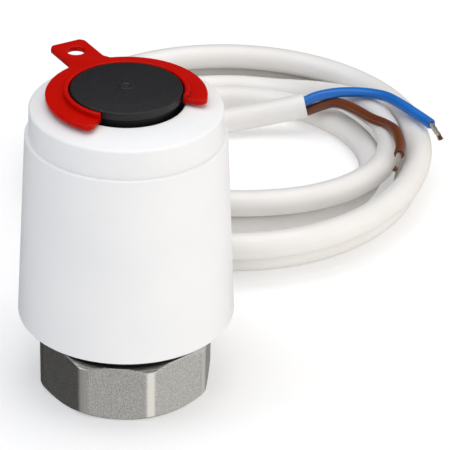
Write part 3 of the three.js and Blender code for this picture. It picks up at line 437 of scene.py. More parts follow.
# %% The sweeping tree
WIRE_SHARP_DEGREES = 40
sweeping, given = new_tree(
    "wire along path", Path="Geometry", Radius="Float", Sides="Int", Bore_share="Float", Recess="Float",
    Material="Material")
line = add_node(sweeping, "GeometryNodeMeshToCurve", {"Mesh": given["Path"]})
section = add_node(sweeping, "GeometryNodeCurvePrimitiveCircle", {
    "Resolution": given["Sides"], "Radius": given["Radius"]})
tube = add_node(sweeping, "GeometryNodeCurveToMesh", {
    "Curve": line.outputs["Curve"], "Profile Curve": section.outputs["Curve"], "Fill Caps": True})
corners = add_node(sweeping, "GeometryNodeInputMeshFaceNeighbors")
is_end = add_node(sweeping, "FunctionNodeCompare", {2: corners.outputs["Vertex Count"], 3: 4},
                  data_type="INT", operation="GREATER_THAN")
wall = add_node(sweeping, "GeometryNodeExtrudeMesh", {
    "Mesh": tube.outputs["Mesh"], "Selection": is_end.outputs["Result"], "Offset Scale": 0.0})
bore = add_node(sweeping, "GeometryNodeScaleElements", {
    "Geometry": wall.outputs["Mesh"], "Selection": wall.outputs["Top"], "Scale": given["Bore share"]})
sink = add_node(sweeping, "ShaderNodeMath", {0: given["Recess"], 1: -1.0}, operation="MULTIPLY")
sunk = add_node(sweeping, "GeometryNodeExtrudeMesh", {
    "Mesh": bore.outputs["Geometry"], "Selection": wall.outputs["Top"],
    "Offset Scale": sink.outputs["Value"]})
close_tree(sweeping, sunk.outputs["Mesh"], given["Material"])


def smooth_path(points, step_mm):
    """Points close together on one smooth curve through the given ones, in millimetres."""
    ends = [points[0] * 2 - points[1], *points, points[-1] * 2 - points[-2]]
    path = []
    for a, b, c, d in zip(ends, ends[1:], ends[2:], ends[3:]):
        count = max(1, round((c - b).length / step_mm))
        for i in range(count):
            t = i / count
            cubic = (3 * b - a - 3 * c + d) * t ** 3 + (2 * a - 5 * b + 4 * c - d) * t ** 2
            path.append((2 * b + (c - a) * t + cubic) / 2)
    return [*path, points[-1]]


def path_length(path):
    """The length of a path in its own units."""
    return sum((b - a).length for a, b in zip(path, path[1:]))


def path_mesh(path):
    """A path in millimetres as a line of edges in metres."""
    mesh = bpy.data.meshes.new("path")
    mesh.from_pydata([point * MM for point in path], [(i, i + 1) for i in range(len(path) - 1)], [])
    return mesh


def wire(path, diameter_mm, material, sides, bore_share, recess_mm):
    """A round wire along a path, with its ends sunk inside a wall."""
    mesh = grow(path_mesh(path), sweeping, Radius=diameter_mm / 2 * MM, Sides=sides, Bore_share=bore_share,
                Recess=recess_mm * MM, Material=material)
    return clean(mesh, WIRE_SHARP_DEGREES)


print("sweeping tree:", len(sweeping.nodes), "nodes")

# %% [markdown]
# ## The lead
# One length of two-core flex leaves the bush, falls to the table behind the housing and lies there in
# about four turns before its stripped end. A real coil settles under its own weight: some turns lie
# side by side and some on top of each other. A rigid spiral would look like a spring, and a simulated
# rope would change each time. So each quarter turn has its own radius and height, chosen so that
# the turns lie about one diameter apart, and a loop eases from one to the next. Where two turns press
# together, the closest are 5.4 mm apart from centre to centre, a little less than the sheath is wide.

# %% Cable route
CABLE_DIAMETER = 5.6
EXIT_AZIMUTH = math.radians(120)
EXIT_HEIGHT = 29.5
LEAD_POINTS = [
    (-6.45, 11.17, 29.5), (-10.5, 18.19, 29.5), (-15, 25.98, 29.5), (-19, 32.91, 29.5),
    (-22.4, 38.9, 29.0), (-26.5, 46.3, 27.0), (-31, 54.5, 23.2), (-35.6, 62.8, 18.9),
    (-38.9, 69.3, 15.9), (-40.4, 74, 14.6),
]
TAIL_POINTS = [
    (-20.4, 82.5, 2.9), (-18.6, 90.4, 3.0), (-12.6, 97.2, 3.2),
    (-4.1, 101.3, 3.9), (4.3, 104.6, 5.3), (11.5, 107.1, 7.0),
]
COIL_CENTRE = Vector((-0.4, 83.5, 0))
COIL_START = math.radians(193.5)
POINTS_PER_QUARTER = 5
CABLE_STEP = 1.6
CABLE_GAP = 0.05
LYING = CABLE_DIAMETER / 2 + CABLE_GAP
ON_TOP = LYING + CABLE_DIAMETER + CABLE_GAP
# the radius at each quarter turn: left, far, right and near of each turn, then left again
COIL_RADII = [
    40.9, 41.0, 41.7, 46.0,
    40.9, 43.3, 39.6, 41.1,
    35.2, 36.3, 35.4, 28.2,
    29.4, 30.7, 31.6, 27.4, 21.5,
]
# where the height changes, in quarter turns
COIL_HEIGHTS = [
    (0, 14.6), (0.45, ON_TOP), (3.35, ON_TOP), (4.25, LYING), (9.1, LYING), (9.75, ON_TOP),
    (11.4, ON_TOP), (12, LYING), (16, LYING),
]


def ease(start, end, share):
    """From start to end with a level beginning and end."""
    share = min(1.0, max(0.0, share))
    return start + (end - start) * share * share * (3 - 2 * share)


def coil_height(quarter):
    """Height of the cable's centre after so many quarter turns."""
    for (before, low), (after, high) in zip(COIL_HEIGHTS, COIL_HEIGHTS[1:]):
        if quarter <= after:
            return ease(low, high, (quarter - before) / (after - before))
    return COIL_HEIGHTS[-1][1]


coil_points = []
for i in range(1, (len(COIL_RADII) - 1) * POINTS_PER_QUARTER):
    quarter = i / POINTS_PER_QUARTER
    whole = int(quarter)
    radius = ease(COIL_RADII[whole], COIL_RADII[whole + 1], quarter - whole)
    angle = COIL_START - quarter * math.pi / 2
    flat = Vector((radius * math.cos(angle), radius * math.sin(angle), 0))
    coil_points.append(COIL_CENTRE + flat + Vector((0, 0, coil_height(quarter))))

lead_points = [Vector(point) for point in LEAD_POINTS]
tail_points = [Vector(point) for point in TAIL_POINTS]
cable_path = smooth_path([*lead_points, *coil_points, *tail_points], CABLE_STEP)
print(f"cable: {len(cable_path)} points, {path_length(cable_path):.0f} mm")

# %% [markdown]
# ## The cable's skin and its stripped cores
# The sheath is cut square and two cores come out of it, each bent by hand: blue goes over, brown
# goes under. They are separate flexible pieces, so each is its own cord that starts at the sheath's
# end. All three use the sweeping tree.

# %% Make the cable and cores
CORE_DIAMETER = 2.3
BLUE_POINTS = [
    (11.7, 106.6, 8.3), (14.3, 107.3, 9.6), (19, 107.7, 11.0), (24.5, 106.9, 12.2), (29.8, 105.1, 13.0),
    (33.5, 102.5, 13.2), (37.2, 99.5, 13.1), (40.4, 96.9, 12.9), (42.3, 95.2, 12.8),
]
BROWN_POINTS = [
    (12.3, 106.9, 5.8), (14.8, 107.4, 7.0), (18.5, 107.0, 8.7), (23.1, 103.8, 9.6), (28.3, 98.7, 10.4),
    (32.4, 94.9, 11.4), (35.6, 89.6, 12.8), (37.7, 83.6, 12.9), (38.2, 79.5, 12.9),
]
BLUE_STRAND_POINTS = [(42.6, 94.8, 12.8), (43.9, 92.5, 12.7), (45.7, 89.3, 12.4)]
BROWN_STRAND_POINTS = [(38.25, 79, 12.9), (38.4, 75.8, 12.7), (38.6, 72.5, 12.5)]
INSIDE_SHEATH = 1.1
CORE_STEP = 0.8
SHEATH_SIDES = 28
SHEATH_BORE = 0.74
SHEATH_RECESS = 1.4
CORE_SIDES = 20
CORE_BORE = 0.62
CORE_RECESS = 0.5

sheath = wire(cable_path, CABLE_DIAMETER, extruded_pvc, SHEATH_SIDES, SHEATH_BORE, SHEATH_RECESS)
cable = settle("cable", sheath, "head", "white_pvc", "cable_lead", "cable_coil", "cable_tail")

end_direction = (tail_points[-1] - tail_points[-2]).normalized()
core_paths = {}
for colour, points, plastic in (("blue", BLUE_POINTS, blue_pvc), ("brown", BROWN_POINTS, brown_pvc)):
    route = [Vector(point) for point in points]
    core_paths[colour] = smooth_path([route[0] - end_direction * INSIDE_SHEATH, *route], CORE_STEP)
    insulation = wire(core_paths[colour], CORE_DIAMETER, plastic, CORE_SIDES, CORE_BORE, CORE_RECESS)
    settle(colour + "_core", insulation, "head", colour + "_pvc", "core_" + colour)

# %% [markdown]
# ## Twisted strands
# Under the insulation a flexible core is a rope of fine tinned wires, twisted, with copper showing
# where the cutter went through. Each wire could be drawn by hand. A tree copies the path once for
# each wire, moves copy number n out to its place in a sunflower pattern, turns it as it goes along,
# and ends each at its own length. A fixed seed keeps the ragged end the same each time.

# %% The strand tree
GOLDEN_ANGLE = math.pi * (3 - math.sqrt(5))
SHORTEST_STRAND = 0.84
stranding, given = new_tree(
    "twisted strands", Path="Geometry", Strands="Int", Spread="Float", Twist="Float", Wire_radius="Float",
    Seed="Int", Material="Material")
line = add_node(stranding, "GeometryNodeMeshToCurve", {"Mesh": given["Path"]})
copies = add_node(stranding, "GeometryNodeDuplicateElements", {
    "Geometry": line.outputs["Curve"], "Amount": given["Strands"]}, domain="SPLINE")
number = copies.outputs["Duplicate Index"]
half_on = add_node(stranding, "ShaderNodeMath", {0: number, 1: 0.5}, operation="ADD")
root = add_node(stranding, "ShaderNodeMath", {0: half_on.outputs["Value"]}, operation="SQRT")
reach = add_node(stranding, "ShaderNodeMath", {
    0: root.outputs["Value"], 1: given["Spread"]}, operation="MULTIPLY")
along = add_node(stranding, "GeometryNodeSplineParameter").outputs["Factor"]
turn = add_node(stranding, "ShaderNodeMath", {0: along, 1: given["Twist"]}, operation="MULTIPLY")
angle = add_node(stranding, "ShaderNodeMath", {0: number, 1: GOLDEN_ANGLE, 2: turn.outputs["Value"]},
                 operation="MULTIPLY_ADD")
outward = add_node(stranding, "GeometryNodeInputNormal").outputs["Normal"]
forward = add_node(stranding, "GeometryNodeInputTangent").outputs["Tangent"]
direction = add_node(stranding, "ShaderNodeVectorRotate", {
    "Vector": outward, "Axis": forward, "Angle": angle.outputs["Value"]}, rotation_type="AXIS_ANGLE")
offset = add_node(stranding, "ShaderNodeVectorMath", {
    0: direction.outputs["Vector"], "Scale": reach.outputs["Value"]}, operation="SCALE")
moved = add_node(stranding, "GeometryNodeSetPosition", {
    "Geometry": copies.outputs["Geometry"], "Offset": offset.outputs["Vector"]})
end = add_node(stranding, "FunctionNodeRandomValue", {
    2: SHORTEST_STRAND, 3: 1.0, "ID": number, "Seed": given["Seed"]}, data_type="FLOAT")
trimmed = add_node(stranding, "GeometryNodeTrimCurve", {
    "Curve": moved.outputs["Geometry"], 3: end.outputs[1]}, mode="FACTOR")
marked = add_node(stranding, "GeometryNodeStoreNamedAttribute", {
    "Geometry": trimmed.outputs["Curve"], "Name": "along",
    "Value": add_node(stranding, "GeometryNodeSplineParameter").outputs["Factor"]},
    data_type="FLOAT", domain="POINT")
section = add_node(stranding, "GeometryNodeCurvePrimitiveCircle", {
    "Resolution": 8, "Radius": given["Wire radius"]})
wires = add_node(stranding, "GeometryNodeCurveToMesh", {
    "Curve": marked.outputs["Geometry"], "Profile Curve": section.outputs["Curve"], "Fill Caps": True})
close_tree(stranding, wires.outputs["Mesh"], given["Material"])
print("strand tree:", len(stranding.nodes), "nodes")

# %% [markdown]
# ## Tinned copper
# The strands are tinned, so they are a grey metal with a warm cast, and bare copper at the cut. The
# tree stored how far along each wire a point is, and the material turns to copper over the last bit.

# %% Strand material and pieces
TIN_UNTIL = 0.91
COPPER_FROM = 0.96
DRAWN_GRAIN_MM = 0.35
tinned_copper = bpy.data.materials.new("drawn tinned copper")
tinned_copper.use_nodes = True
tree = tinned_copper.node_tree
tree.nodes.clear()
far_along = add_node(tree, "ShaderNodeAttribute", attribute_name="along")
tinning = two_tone(tree, far_along.outputs["Fac"], (TIN_UNTIL, "#CBC6BC"), (COPPER_FROM, "#8C5B40"))
drawn = add_node(tree, "ShaderNodeTexNoise", {
    "Vector": add_node(tree, "ShaderNodeTexCoord").outputs["Object"], "Scale": 1 / (DRAWN_GRAIN_MM * MM)})
drawn_gloss = add_node(tree, "ShaderNodeMapRange", {
    "Value": drawn.outputs["Fac"], "To Min": 0.3, "To Max": 0.5})
shader = add_node(tree, "ShaderNodeBsdfPrincipled", {
    "Base Color": tinning, "Metallic": 1.0, "Roughness": drawn_gloss.outputs["Result"]})
add_node(tree, "ShaderNodeOutputMaterial", {"Surface": shader.outputs["BSDF"]})

STRAND_COUNT = 19
STRAND_RADIUS = 0.12
STRAND_SPREAD = 0.115
STRAND_STEP = 0.3
STRAND_TWIST = math.radians(250)
STRAND_SHARP_DEGREES = 50
FIRST_SEED = 4
strand_routes = (("blue", BLUE_STRAND_POINTS), ("brown", BROWN_STRAND_POINTS))
for seed, (colour, points) in enumerate(strand_routes, FIRST_SEED):
    route = [core_paths[colour][-1], *(Vector(point) for point in points)]
    bundle = grow(path_mesh(smooth_path(route, STRAND_STEP)), stranding, Strands=STRAND_COUNT,
                  Spread=STRAND_SPREAD * MM, Twist=STRAND_TWIST, Wire_radius=STRAND_RADIUS * MM,
                  Seed=seed, Material=tinned_copper)
    rope = clean(bundle, STRAND_SHARP_DEGREES)
    settle(colour + "_strands", rope, "head", "tinned_copper", "strands_" + colour)

# %% [markdown]
# ## The cable bush
# Where the lead leaves the housing a soft tapered bush keeps it from kinking. It is moulded with
# grooves that let it bend. It is turned like the housing, and then laid along the exit.

# %% Make the bush
EXIT_DIRECTION = Vector((math.cos(EXIT_AZIMUTH), math.sin(EXIT_AZIMUTH), 0))
BUSH_BORE = CABLE_DIAMETER / 2 + CLEARANCE
BUSH_UNDERSIDE = 6                # below the lead's axis, where the tapered cover is widest
taper_there = (EXIT_HEIGHT - BUSH_UNDERSIDE - cover_low.z) * COVER_TAPER / (cover_high.z - cover_low.z)
BUSH_START = COVER_RADIUS - taper_there + CLEARANCE
BUSH_LENGTH = 18
BUSH_COLLAR = 2
BUSH_NECK = BUSH_BORE + 1
BUSH_ROOT = BUSH_BORE + 2.3
BUSH_TIP = BUSH_BORE + 0.8
BUSH_FLANGE = BUSH_BORE + 2.9
FLANGE_FACE = 17.1
FLANGE_BACK = FLANGE_FACE - 1.2
BUSH_GROOVES = 5
GROOVE_DEPTH = 0.45
GROOVE_HALF = 0.45
GROOVE_LIP = 0.6
LIP_NEAR = 0.1
LIP_FAR = 0.05

bush_points = [
    (BUSH_BORE, FLANGE_BACK), (BUSH_FLANGE, FLANGE_BACK, 0.2), (BUSH_FLANGE, FLANGE_FACE, 0.2),
    (BUSH_NECK, FLANGE_FACE), (BUSH_NECK, BUSH_START), (BUSH_ROOT, BUSH_START, 0.3),
    (BUSH_ROOT, BUSH_START + BUSH_COLLAR, 0.5),
]
groove_pitch = (BUSH_LENGTH - BUSH_COLLAR) / (BUSH_GROOVES + 1)
for i in range(1, BUSH_GROOVES + 1):
    outside = BUSH_ROOT + (BUSH_TIP - BUSH_ROOT) * i / (BUSH_GROOVES + 1)
    bottom = outside - GROOVE_DEPTH
    at = BUSH_START + BUSH_COLLAR + groove_pitch * i
    bush_points += [(outside + LIP_NEAR, at - GROOVE_LIP, 0.15), (bottom, at - GROOVE_HALF, 0.15),
                    (bottom, at + GROOVE_HALF, 0.15), (outside - LIP_FAR, at + GROOVE_LIP, 0.15)]
bush_points += [(BUSH_TIP, BUSH_START + BUSH_LENGTH, 0.35), (BUSH_BORE, BUSH_START + BUSH_LENGTH, 0.1)]
bush_mesh = turned(bush_points, moulded_pvc, 72, 3)
lay_along = EXIT_DIRECTION.to_track_quat("Z", "Y").to_matrix().to_4x4()
bush_mesh.transform(Matrix.Translation((0, 0, EXIT_HEIGHT * MM)) @ lay_along)
bush = settle("cable_bush", bush_mesh, "head", "white_pvc", "cable_entry")

# %% [markdown]

# %% [markdown]
# ## The housing
# The cover is a slightly tapered tube of white plastic, open below, with a narrow ledge on top where
# the cap sits. Its draft lets it leave the mould. It is turned, and the hole for the lead is cut with
# a boolean, which leaves a clean edge where a modelled hole would pinch the wall.

# %% Make the cover
EXIT_HOLE = BUSH_NECK + CLEARANCE
HOLE_FROM = 12
HOLE_TO = 30


def combined(operation, body, tool):
    """One clean mesh from two, by a boolean."""
    holder, other = linked("body", body), linked("tool", tool)
    step = holder.modifiers.new("combine", "BOOLEAN")
    step.operation, step.solver, step.object = operation, "EXACT", other
    mesh = baked(holder)
    bpy.data.objects.remove(other)
    return clean(mesh)


cover_inner_low = COVER_RADIUS - COVER_WALL
cover_inner_top = COVER_TOP_RADIUS - COVER_WALL
cover_mesh = turned([
    (cover_inner_low, cover_low.z, 0.15), (COVER_RADIUS, cover_low.z, 0.45),
    (COVER_TOP_RADIUS, cover_high.z, 0.3), (cover_inner_top, cover_high.z, 0.1),
], satin_abs, 240, 6)
cutter_mesh = turned([(0, HOLE_FROM), (EXIT_HOLE, HOLE_FROM), (EXIT_HOLE, HOLE_TO), (0, HOLE_TO)],
                     satin_abs, 64, 1, closed=False)
cutter_mesh.transform(Matrix.Translation((0, 0, EXIT_HEIGHT * MM)) @ lay_along)
settle("cover", combined("DIFFERENCE", cover_mesh, cutter_mesh), "head", "white_shell", "outer_cover")

# %% [markdown]
# ## The cap
# A separate moulding closes the top: a short wall, a soft edge, a gently domed crown and a hole for
# the indicator. A spigot underneath centres it in the cover, and a hub inside holds the spring.

# %% Make the cap
CAP_HOLE = DISC_RADIUS + 0.46
CAP_RIM = cap_high.z - 1.3
CAP_DRAFT = 0.04
CAP_SEAM = 0.01
HUB_RADIUS = CAP_HOLE + 2.7
HUB_BOTTOM = cap_high.z - 3.6
CEILING_AT_HUB = cap_high.z - 2.4
CEILING_AT_WALL = CAP_RIM - 1.9
CROWN_MIDDLE = cap_high.z - 0.5
CROWN_ROUNDING = 20
spigot_outer = COVER_TOP_RADIUS - COVER_WALL - CLEARANCE
spigot_inner = spigot_outer - 1.5
wall_bottom = cover_high.z + CAP_SEAM
cap_mesh = turned([
    (spigot_inner, cap_low.z, 0.2), (spigot_outer, cap_low.z, 0.4), (spigot_outer, wall_bottom, 0.1),
    (CAP_RADIUS, wall_bottom), (CAP_RADIUS - CAP_DRAFT, CAP_RIM + 0.05, 0.6),
    ((CAP_RADIUS + CAP_HOLE) / 2, CROWN_MIDDLE, CROWN_ROUNDING), (CAP_HOLE, cap_high.z, 0.35),
    (CAP_HOLE, HUB_BOTTOM, 0.2), (HUB_RADIUS, HUB_BOTTOM, 0.2), (HUB_RADIUS, CEILING_AT_HUB, 0.4),
    (spigot_inner, CEILING_AT_WALL, 0.8),
], satin_abs, 220, 7)
settle("cap", cap_mesh, "head", "white_shell", "top_cap")

# %% [markdown]
# ## The neck
# Under the cover a black moulding carries everything. Its shoulder shows as a dark line above the
# nut, and its neck, with a groove for the retaining ring, reaches down into the nut.

# %% Make the base
NUT_INNER_TOP = 9.4
NECK = 12.0
NECK_BORE = 6.8
NECK_TOP = 12
NECK_CEILING = 11.5
GROOVE = NECK - 1
GROOVE_FROM = 7.7
SHOULDER = 15.6
SHOULDER_TOP = 15.9
RIM = base_high.x
RIM_TOP = base_high.z
RIM_INSIDE = RIM - 1.8
SEAL_SEAT = RIM - 1.5
SEAL_FROM = 19.7 - 0.8
SEAL_TO = 19.7 + 0.8
FLOOR = 18.0
WELL = 7.5
WELL_FLOOR = 14.0
BUSH_HOLE = 4.3
base_mesh = turned([
    (NECK_BORE, base_low.z, 0.3), (NECK, base_low.z, 0.35), (NECK, GROOVE_FROM, 0.08),
    (GROOVE, GROOVE_FROM, 0.1), (GROOVE, NUT_INNER_TOP, 0.1), (NECK, NUT_INNER_TOP, 0.08),
    (NECK, NECK_TOP, 0.1), (SHOULDER, NECK_TOP, 0.3), (SHOULDER, SHOULDER_TOP, 0.2),
    (RIM, SHOULDER_TOP, 0.2), (RIM, SEAL_FROM, 0.05), (SEAL_SEAT, SEAL_FROM, 0.1),
    (SEAL_SEAT, SEAL_TO, 0.1), (RIM, SEAL_TO, 0.05), (RIM, RIM_TOP, 0.3), (RIM_INSIDE, RIM_TOP, 0.3),
    (RIM_INSIDE, FLOOR, 0.4), (WELL, FLOOR, 0.2), (WELL, WELL_FLOOR, 0.2), (BUSH_HOLE, WELL_FLOOR, 0.1),
    (BUSH_HOLE, NECK_CEILING, 0.1), (NECK_BORE, NECK_CEILING, 0.3),
], glass_filled_pa, 160, 4)
settle("base", base_mesh, "head", "black_body", "base_body")

# %% [markdown]
# ## The union nut
# The nut is an octagon forged in brass, turned on both ends and plated. The lathe cut a cone across
# its corners, which leaves curved edges on the flats, and took the very corners down to a narrow
# round land. All of that is one rule: at each angle and height the surface is the nearest of the flat,
# the cone and the land. The thread inside is a rule too, a triangle that climbs one pitch each turn.
# Cutting solids from each other would give knife edges, so a soft minimum rounds every edge a little.

# %% Make the nut
ACROSS_FLATS = 32.0
NUT_SIDES = 8
NUT_TURN = math.radians(-12.9)
LAND_RADIUS = 16.95
CHAMFER_RISE = 0.95
CHAMFER_SLOPE = math.tan(math.radians(40))
THREAD_PITCH = 1.5
THREAD_DEPTH = 0.81
THREAD_TOP = 6.2
THREAD_RADIUS = 15
BORE_RADIUS = THREAD_RADIUS - THREAD_DEPTH
THREAD_FLANK = 1.15
THREAD_FADE = 0.8
MOUTH_RADIUS = 15.1
COLLAR_HOLE = NECK + 0.35
COLLAR_BEVEL = 0.2
TURNED_STEP = 0.12
TURNED_ROWS = 12
THREAD_STEP = 0.125
THREAD_RUN_OUT = 0.3
RELIEF_FROM = 7.6
EDGE_ROUNDING = 0.16
NUT_COLUMNS = 640
NUT_SHARP_DEGREES = 24
NUT_HEIGHT = nut_high.z


def soft_minimum(values, rounding):
    """The smallest value, with the crossing of two values rounded off."""
    least = min(values)
    return least - rounding * math.log(sum(math.exp((least - value) / rounding) for value in values))


def nut_outside(angle, height):
    """Radius of the nut's outside, and how far the lathe cut into the flat there."""
    step = math.tau / NUT_SIDES
    from_corner = (angle - NUT_TURN + step / 2) % step - step / 2
    flat = ACROSS_FLATS / 2 / math.cos(step / 2 - abs(from_corner))
    from_end = min(height, NUT_HEIGHT - height)
    cone = LAND_RADIUS + (from_end - CHAMFER_RISE) / CHAMFER_SLOPE
    cut = min(1.0, max(0.0, (flat - min(cone, LAND_RADIUS)) / EDGE_ROUNDING))
    return soft_minimum((flat, cone, LAND_RADIUS), EDGE_ROUNDING / 4), cut


def nut_thread(angle, height):
    """Radius of the threaded bore, with its lead-in at the mouth."""
    phase = (height / THREAD_PITCH - angle / math.tau) % 1
    groove = THREAD_DEPTH * max(0.0, 1 - abs(2 * phase - 1) * THREAD_FLANK)
    fade = min(1.0, max(0.0, (THREAD_TOP - height) / THREAD_FADE))
    lead_in = MOUTH_RADIUS - height
    return max(BORE_RADIUS + min(groove, THREAD_DEPTH) * fade, lead_in)


outside_heights = [TURNED_STEP * i for i in range(1, TURNED_ROWS + 1)]
outside_heights += [1.9, 3.2, 4.5, NUT_HEIGHT / 2]
outside_heights += [NUT_HEIGHT - height for height in reversed(outside_heights[:-1])]
thread_start = THREAD_TOP + THREAD_RUN_OUT
thread_heights = [thread_start - THREAD_STEP * i for i in range(int(thread_start / THREAD_STEP) + 1)]
rows = [("outside", height) for height in outside_heights]
rows += [(15.55, NUT_HEIGHT), (14.0, NUT_HEIGHT), (COLLAR_HOLE + COLLAR_BEVEL, NUT_HEIGHT)]
rows += [(COLLAR_HOLE, NUT_HEIGHT - COLLAR_BEVEL), (COLLAR_HOLE, NUT_INNER_TOP), (13.2, NUT_INNER_TOP)]
rows += [(BORE_RADIUS, NUT_INNER_TOP), (BORE_RADIUS, RELIEF_FROM)]
rows += [("thread", height) for height in thread_heights]
rows += [(15.18, 0.0), (15.4, 0.0), (15.62, 0.0)]

nut_vertices = []
nut_cuts = []
for column in range(NUT_COLUMNS):
    angle = column * math.tau / NUT_COLUMNS
    for kind, height in rows:
        was_cut = 1.0
        if kind == "outside":
            radius, was_cut = nut_outside(angle, height)
        elif kind == "thread":
            radius = nut_thread(angle, max(height, 0.02))
        else:
            radius = kind
        nut_vertices.append((radius * math.cos(angle) * MM, radius * math.sin(angle) * MM, height * MM))
        nut_cuts.append(was_cut)
nut_faces = []
for column in range(NUT_COLUMNS):
    here, there = column * len(rows), (column + 1) % NUT_COLUMNS * len(rows)
    for row in range(len(rows)):
        after = (row + 1) % len(rows)
        nut_faces.append((here + row, there + row, there + after, here + after))
nut_mesh = bpy.data.meshes.new("nut")
nut_mesh.from_pydata(nut_vertices, [], nut_faces)
nut_mesh.attributes.new("cut", "FLOAT", "POINT").data.foreach_set("value", nut_cuts)
nut_mesh.materials.append(nickel_brass)
settle("octagon_nut", clean(nut_mesh, NUT_SHARP_DEGREES), "nut", "nickel", "union_nut")

# %% [markdown]
# ## Indicator and foot
# The black disc stands in the cap's hole and rises when the valve opens. Its top is slightly domed,
# with the little ring that the moulding gate left in the middle. Below it a wide head fills the hole,
# and at the other end of the column a pale foot presses on the valve's pin.

# %% Make the indicator and the foot
disc_rim = disc_high.z - 0.55
disc_mesh = turned([
    (0, disc_low.z), (DISC_RADIUS, disc_low.z, 0.2), (DISC_RADIUS, disc_rim, 0.22),
    (DISC_RADIUS - 0.35, disc_rim + 0.06, 0.3), (DISC_RADIUS * 0.66, disc_rim + 0.34, 20),
    (DISC_RADIUS * 0.33, disc_rim + 0.42, 20), (1.35, disc_high.z - 0.16), (1.2, disc_high.z, 0.06),
    (1.0, disc_high.z, 0.06), (0.8, disc_high.z - 0.18, 0.05), (0.32, disc_high.z - 0.18, 0.05),
    (0.15, disc_high.z, 0.06), (0, disc_high.z),
], eroded_pom, 200, 4, closed=False)
settle("disc", disc_mesh, "lift", "black_indicator", "indicator_disc")

STEM = 4.0
STEM_FLANGE = 6.0
FLANGE_TOP = stem_low.z + 1.2
HEAD_RADIUS = 9.6
HEAD_BOTTOM = stem_high.z - 3.9
stem_mesh = turned([
    (0, stem_low.z), (STEM_FLANGE, stem_low.z, 0.2), (STEM_FLANGE, FLANGE_TOP, 0.2),
    (STEM, FLANGE_TOP, 0.4), (STEM, HEAD_BOTTOM, 0.4), (HEAD_RADIUS, HEAD_BOTTOM, 0.4),
    (HEAD_RADIUS, stem_high.z, 0.2), (0, stem_high.z),
], glass_filled_pa, 120, 3, closed=False)
settle("indicator_column", stem_mesh, "lift", "black_indicator", "indicator_stem")

FOOT_STEM = 2.5
FOOT_RADIUS = foot_high.x
FOOT_BEVEL = 0.6
FOOT_TOP = foot_low.z + 2.8
foot_mesh = turned([
    (0, foot_low.z), (FOOT_RADIUS - FOOT_BEVEL, foot_low.z, 0.2),
    (FOOT_RADIUS, foot_low.z + FOOT_BEVEL, 0.2), (FOOT_RADIUS, FOOT_TOP, 0.3), (FOOT_STEM, FOOT_TOP, 0.4),
    (FOOT_STEM, foot_high.z, 0.2), (0, foot_high.z),
], natural_pa, 96, 4, closed=False)
settle("valve_foot", foot_mesh, "lift", "natural_plastic", "pressure_foot")

# %% [markdown]
# ## The closing spring
# A coil spring pushes the column down when the wax cools. A tree turns a spiral into round wire.

# %% Make the spring
springing, given = new_tree(
    "wire spring", Base="Geometry", Mean_radius="Float", Wire_radius="Float", Turns="Float", Rise="Float",
    Foot="Float", Material="Material")
helix = add_node(springing, "GeometryNodeCurveSpiral", {
    "Resolution": 40, "Rotations": given["Turns"], "Start Radius": given["Mean radius"],
    "End Radius": given["Mean radius"], "Height": given["Rise"]})
lift = add_node(springing, "ShaderNodeCombineXYZ", {"Z": given["Foot"]})
stood = add_node(springing, "GeometryNodeTransform", {
    "Geometry": helix.outputs["Curve"], "Translation": lift.outputs["Vector"]})
section = add_node(springing, "GeometryNodeCurvePrimitiveCircle", {
    "Resolution": 16, "Radius": given["Wire radius"]})
coils = add_node(springing, "GeometryNodeCurveToMesh", {
    "Curve": stood.outputs["Geometry"], "Profile Curve": section.outputs["Curve"], "Fill Caps": True})
close_tree(springing, coils.outputs["Mesh"], given["Material"])

SPRING_WIRE = 1.8
SPRING_TURNS = 4.25
SPRING_RADIUS = CAP_HOLE + 0.6
SPRING_SHARP_DEGREES = 50
spring_rise = spring_high.z - spring_low.z - SPRING_WIRE
spring_mesh = grow(bpy.data.meshes.new("spring"), springing, Mean_radius=SPRING_RADIUS * MM,
                   Wire_radius=SPRING_WIRE / 2 * MM, Turns=SPRING_TURNS, Rise=spring_rise * MM,
                   Foot=(spring_low.z + SPRING_WIRE / 2) * MM, Material=spring_steel)
spring = linked("spring", clean(spring_mesh, SPRING_SHARP_DEGREES))
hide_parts("closing_spring")
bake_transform(spring)
print(f"spring: {len(spring.data.polygons)} faces")

# %% [markdown]
# ## The lock clip
# The red clip is a thin plate bent round the indicator like a horseshoe, with a raised collar inside
# and a tab with a hole to pull it by. A flat curve that is filled, thickened and bevelled gives the
# plate its moulded, rounded edges, and a boolean joins the collar to it in one body.

# %% Make the clip
CLIP_FLANGE = CAP_HOLE + 4.1
CLIP_INNER = DISC_RADIUS + 0.35
CLIP_COLLAR = CLIP_INNER + 0.86
CLIP_PLATE = 1.1
TAB_AZIMUTH = math.radians(135)
TAB_END = CLIP_FLANGE + 8.9
TAB_HALF = 3.65
TAB_ROOT_HALF = 4.4
TAB_CORNER = 0.9
TAB_HOLE = 1.75
TAB_HOLE_AT = TAB_END - 4.1
MOUTH_FROM = math.radians(3.5)
MOUTH_TO = math.radians(260.5)
MOUTH_CORNER = 1.5
CORNER_STEPS = 6
TAB_BLEND = 0.75
TAB_CHAMFER = 0.35
TAB_TIP = 0.2
PLATE_BEVEL = 0.22
COLLAR_EDGE = 0.24
COLLAR_LIFT = 0.02
HOLE_SIDES = 48
ARC_STEPS = 96


def arc(radius, start, end, steps):
    """Points on an arc about the axis."""
    angles = [start + (end - start) * i / steps for i in range(steps + 1)]
    return [(radius * math.cos(angle), radius * math.sin(angle)) for angle in angles]


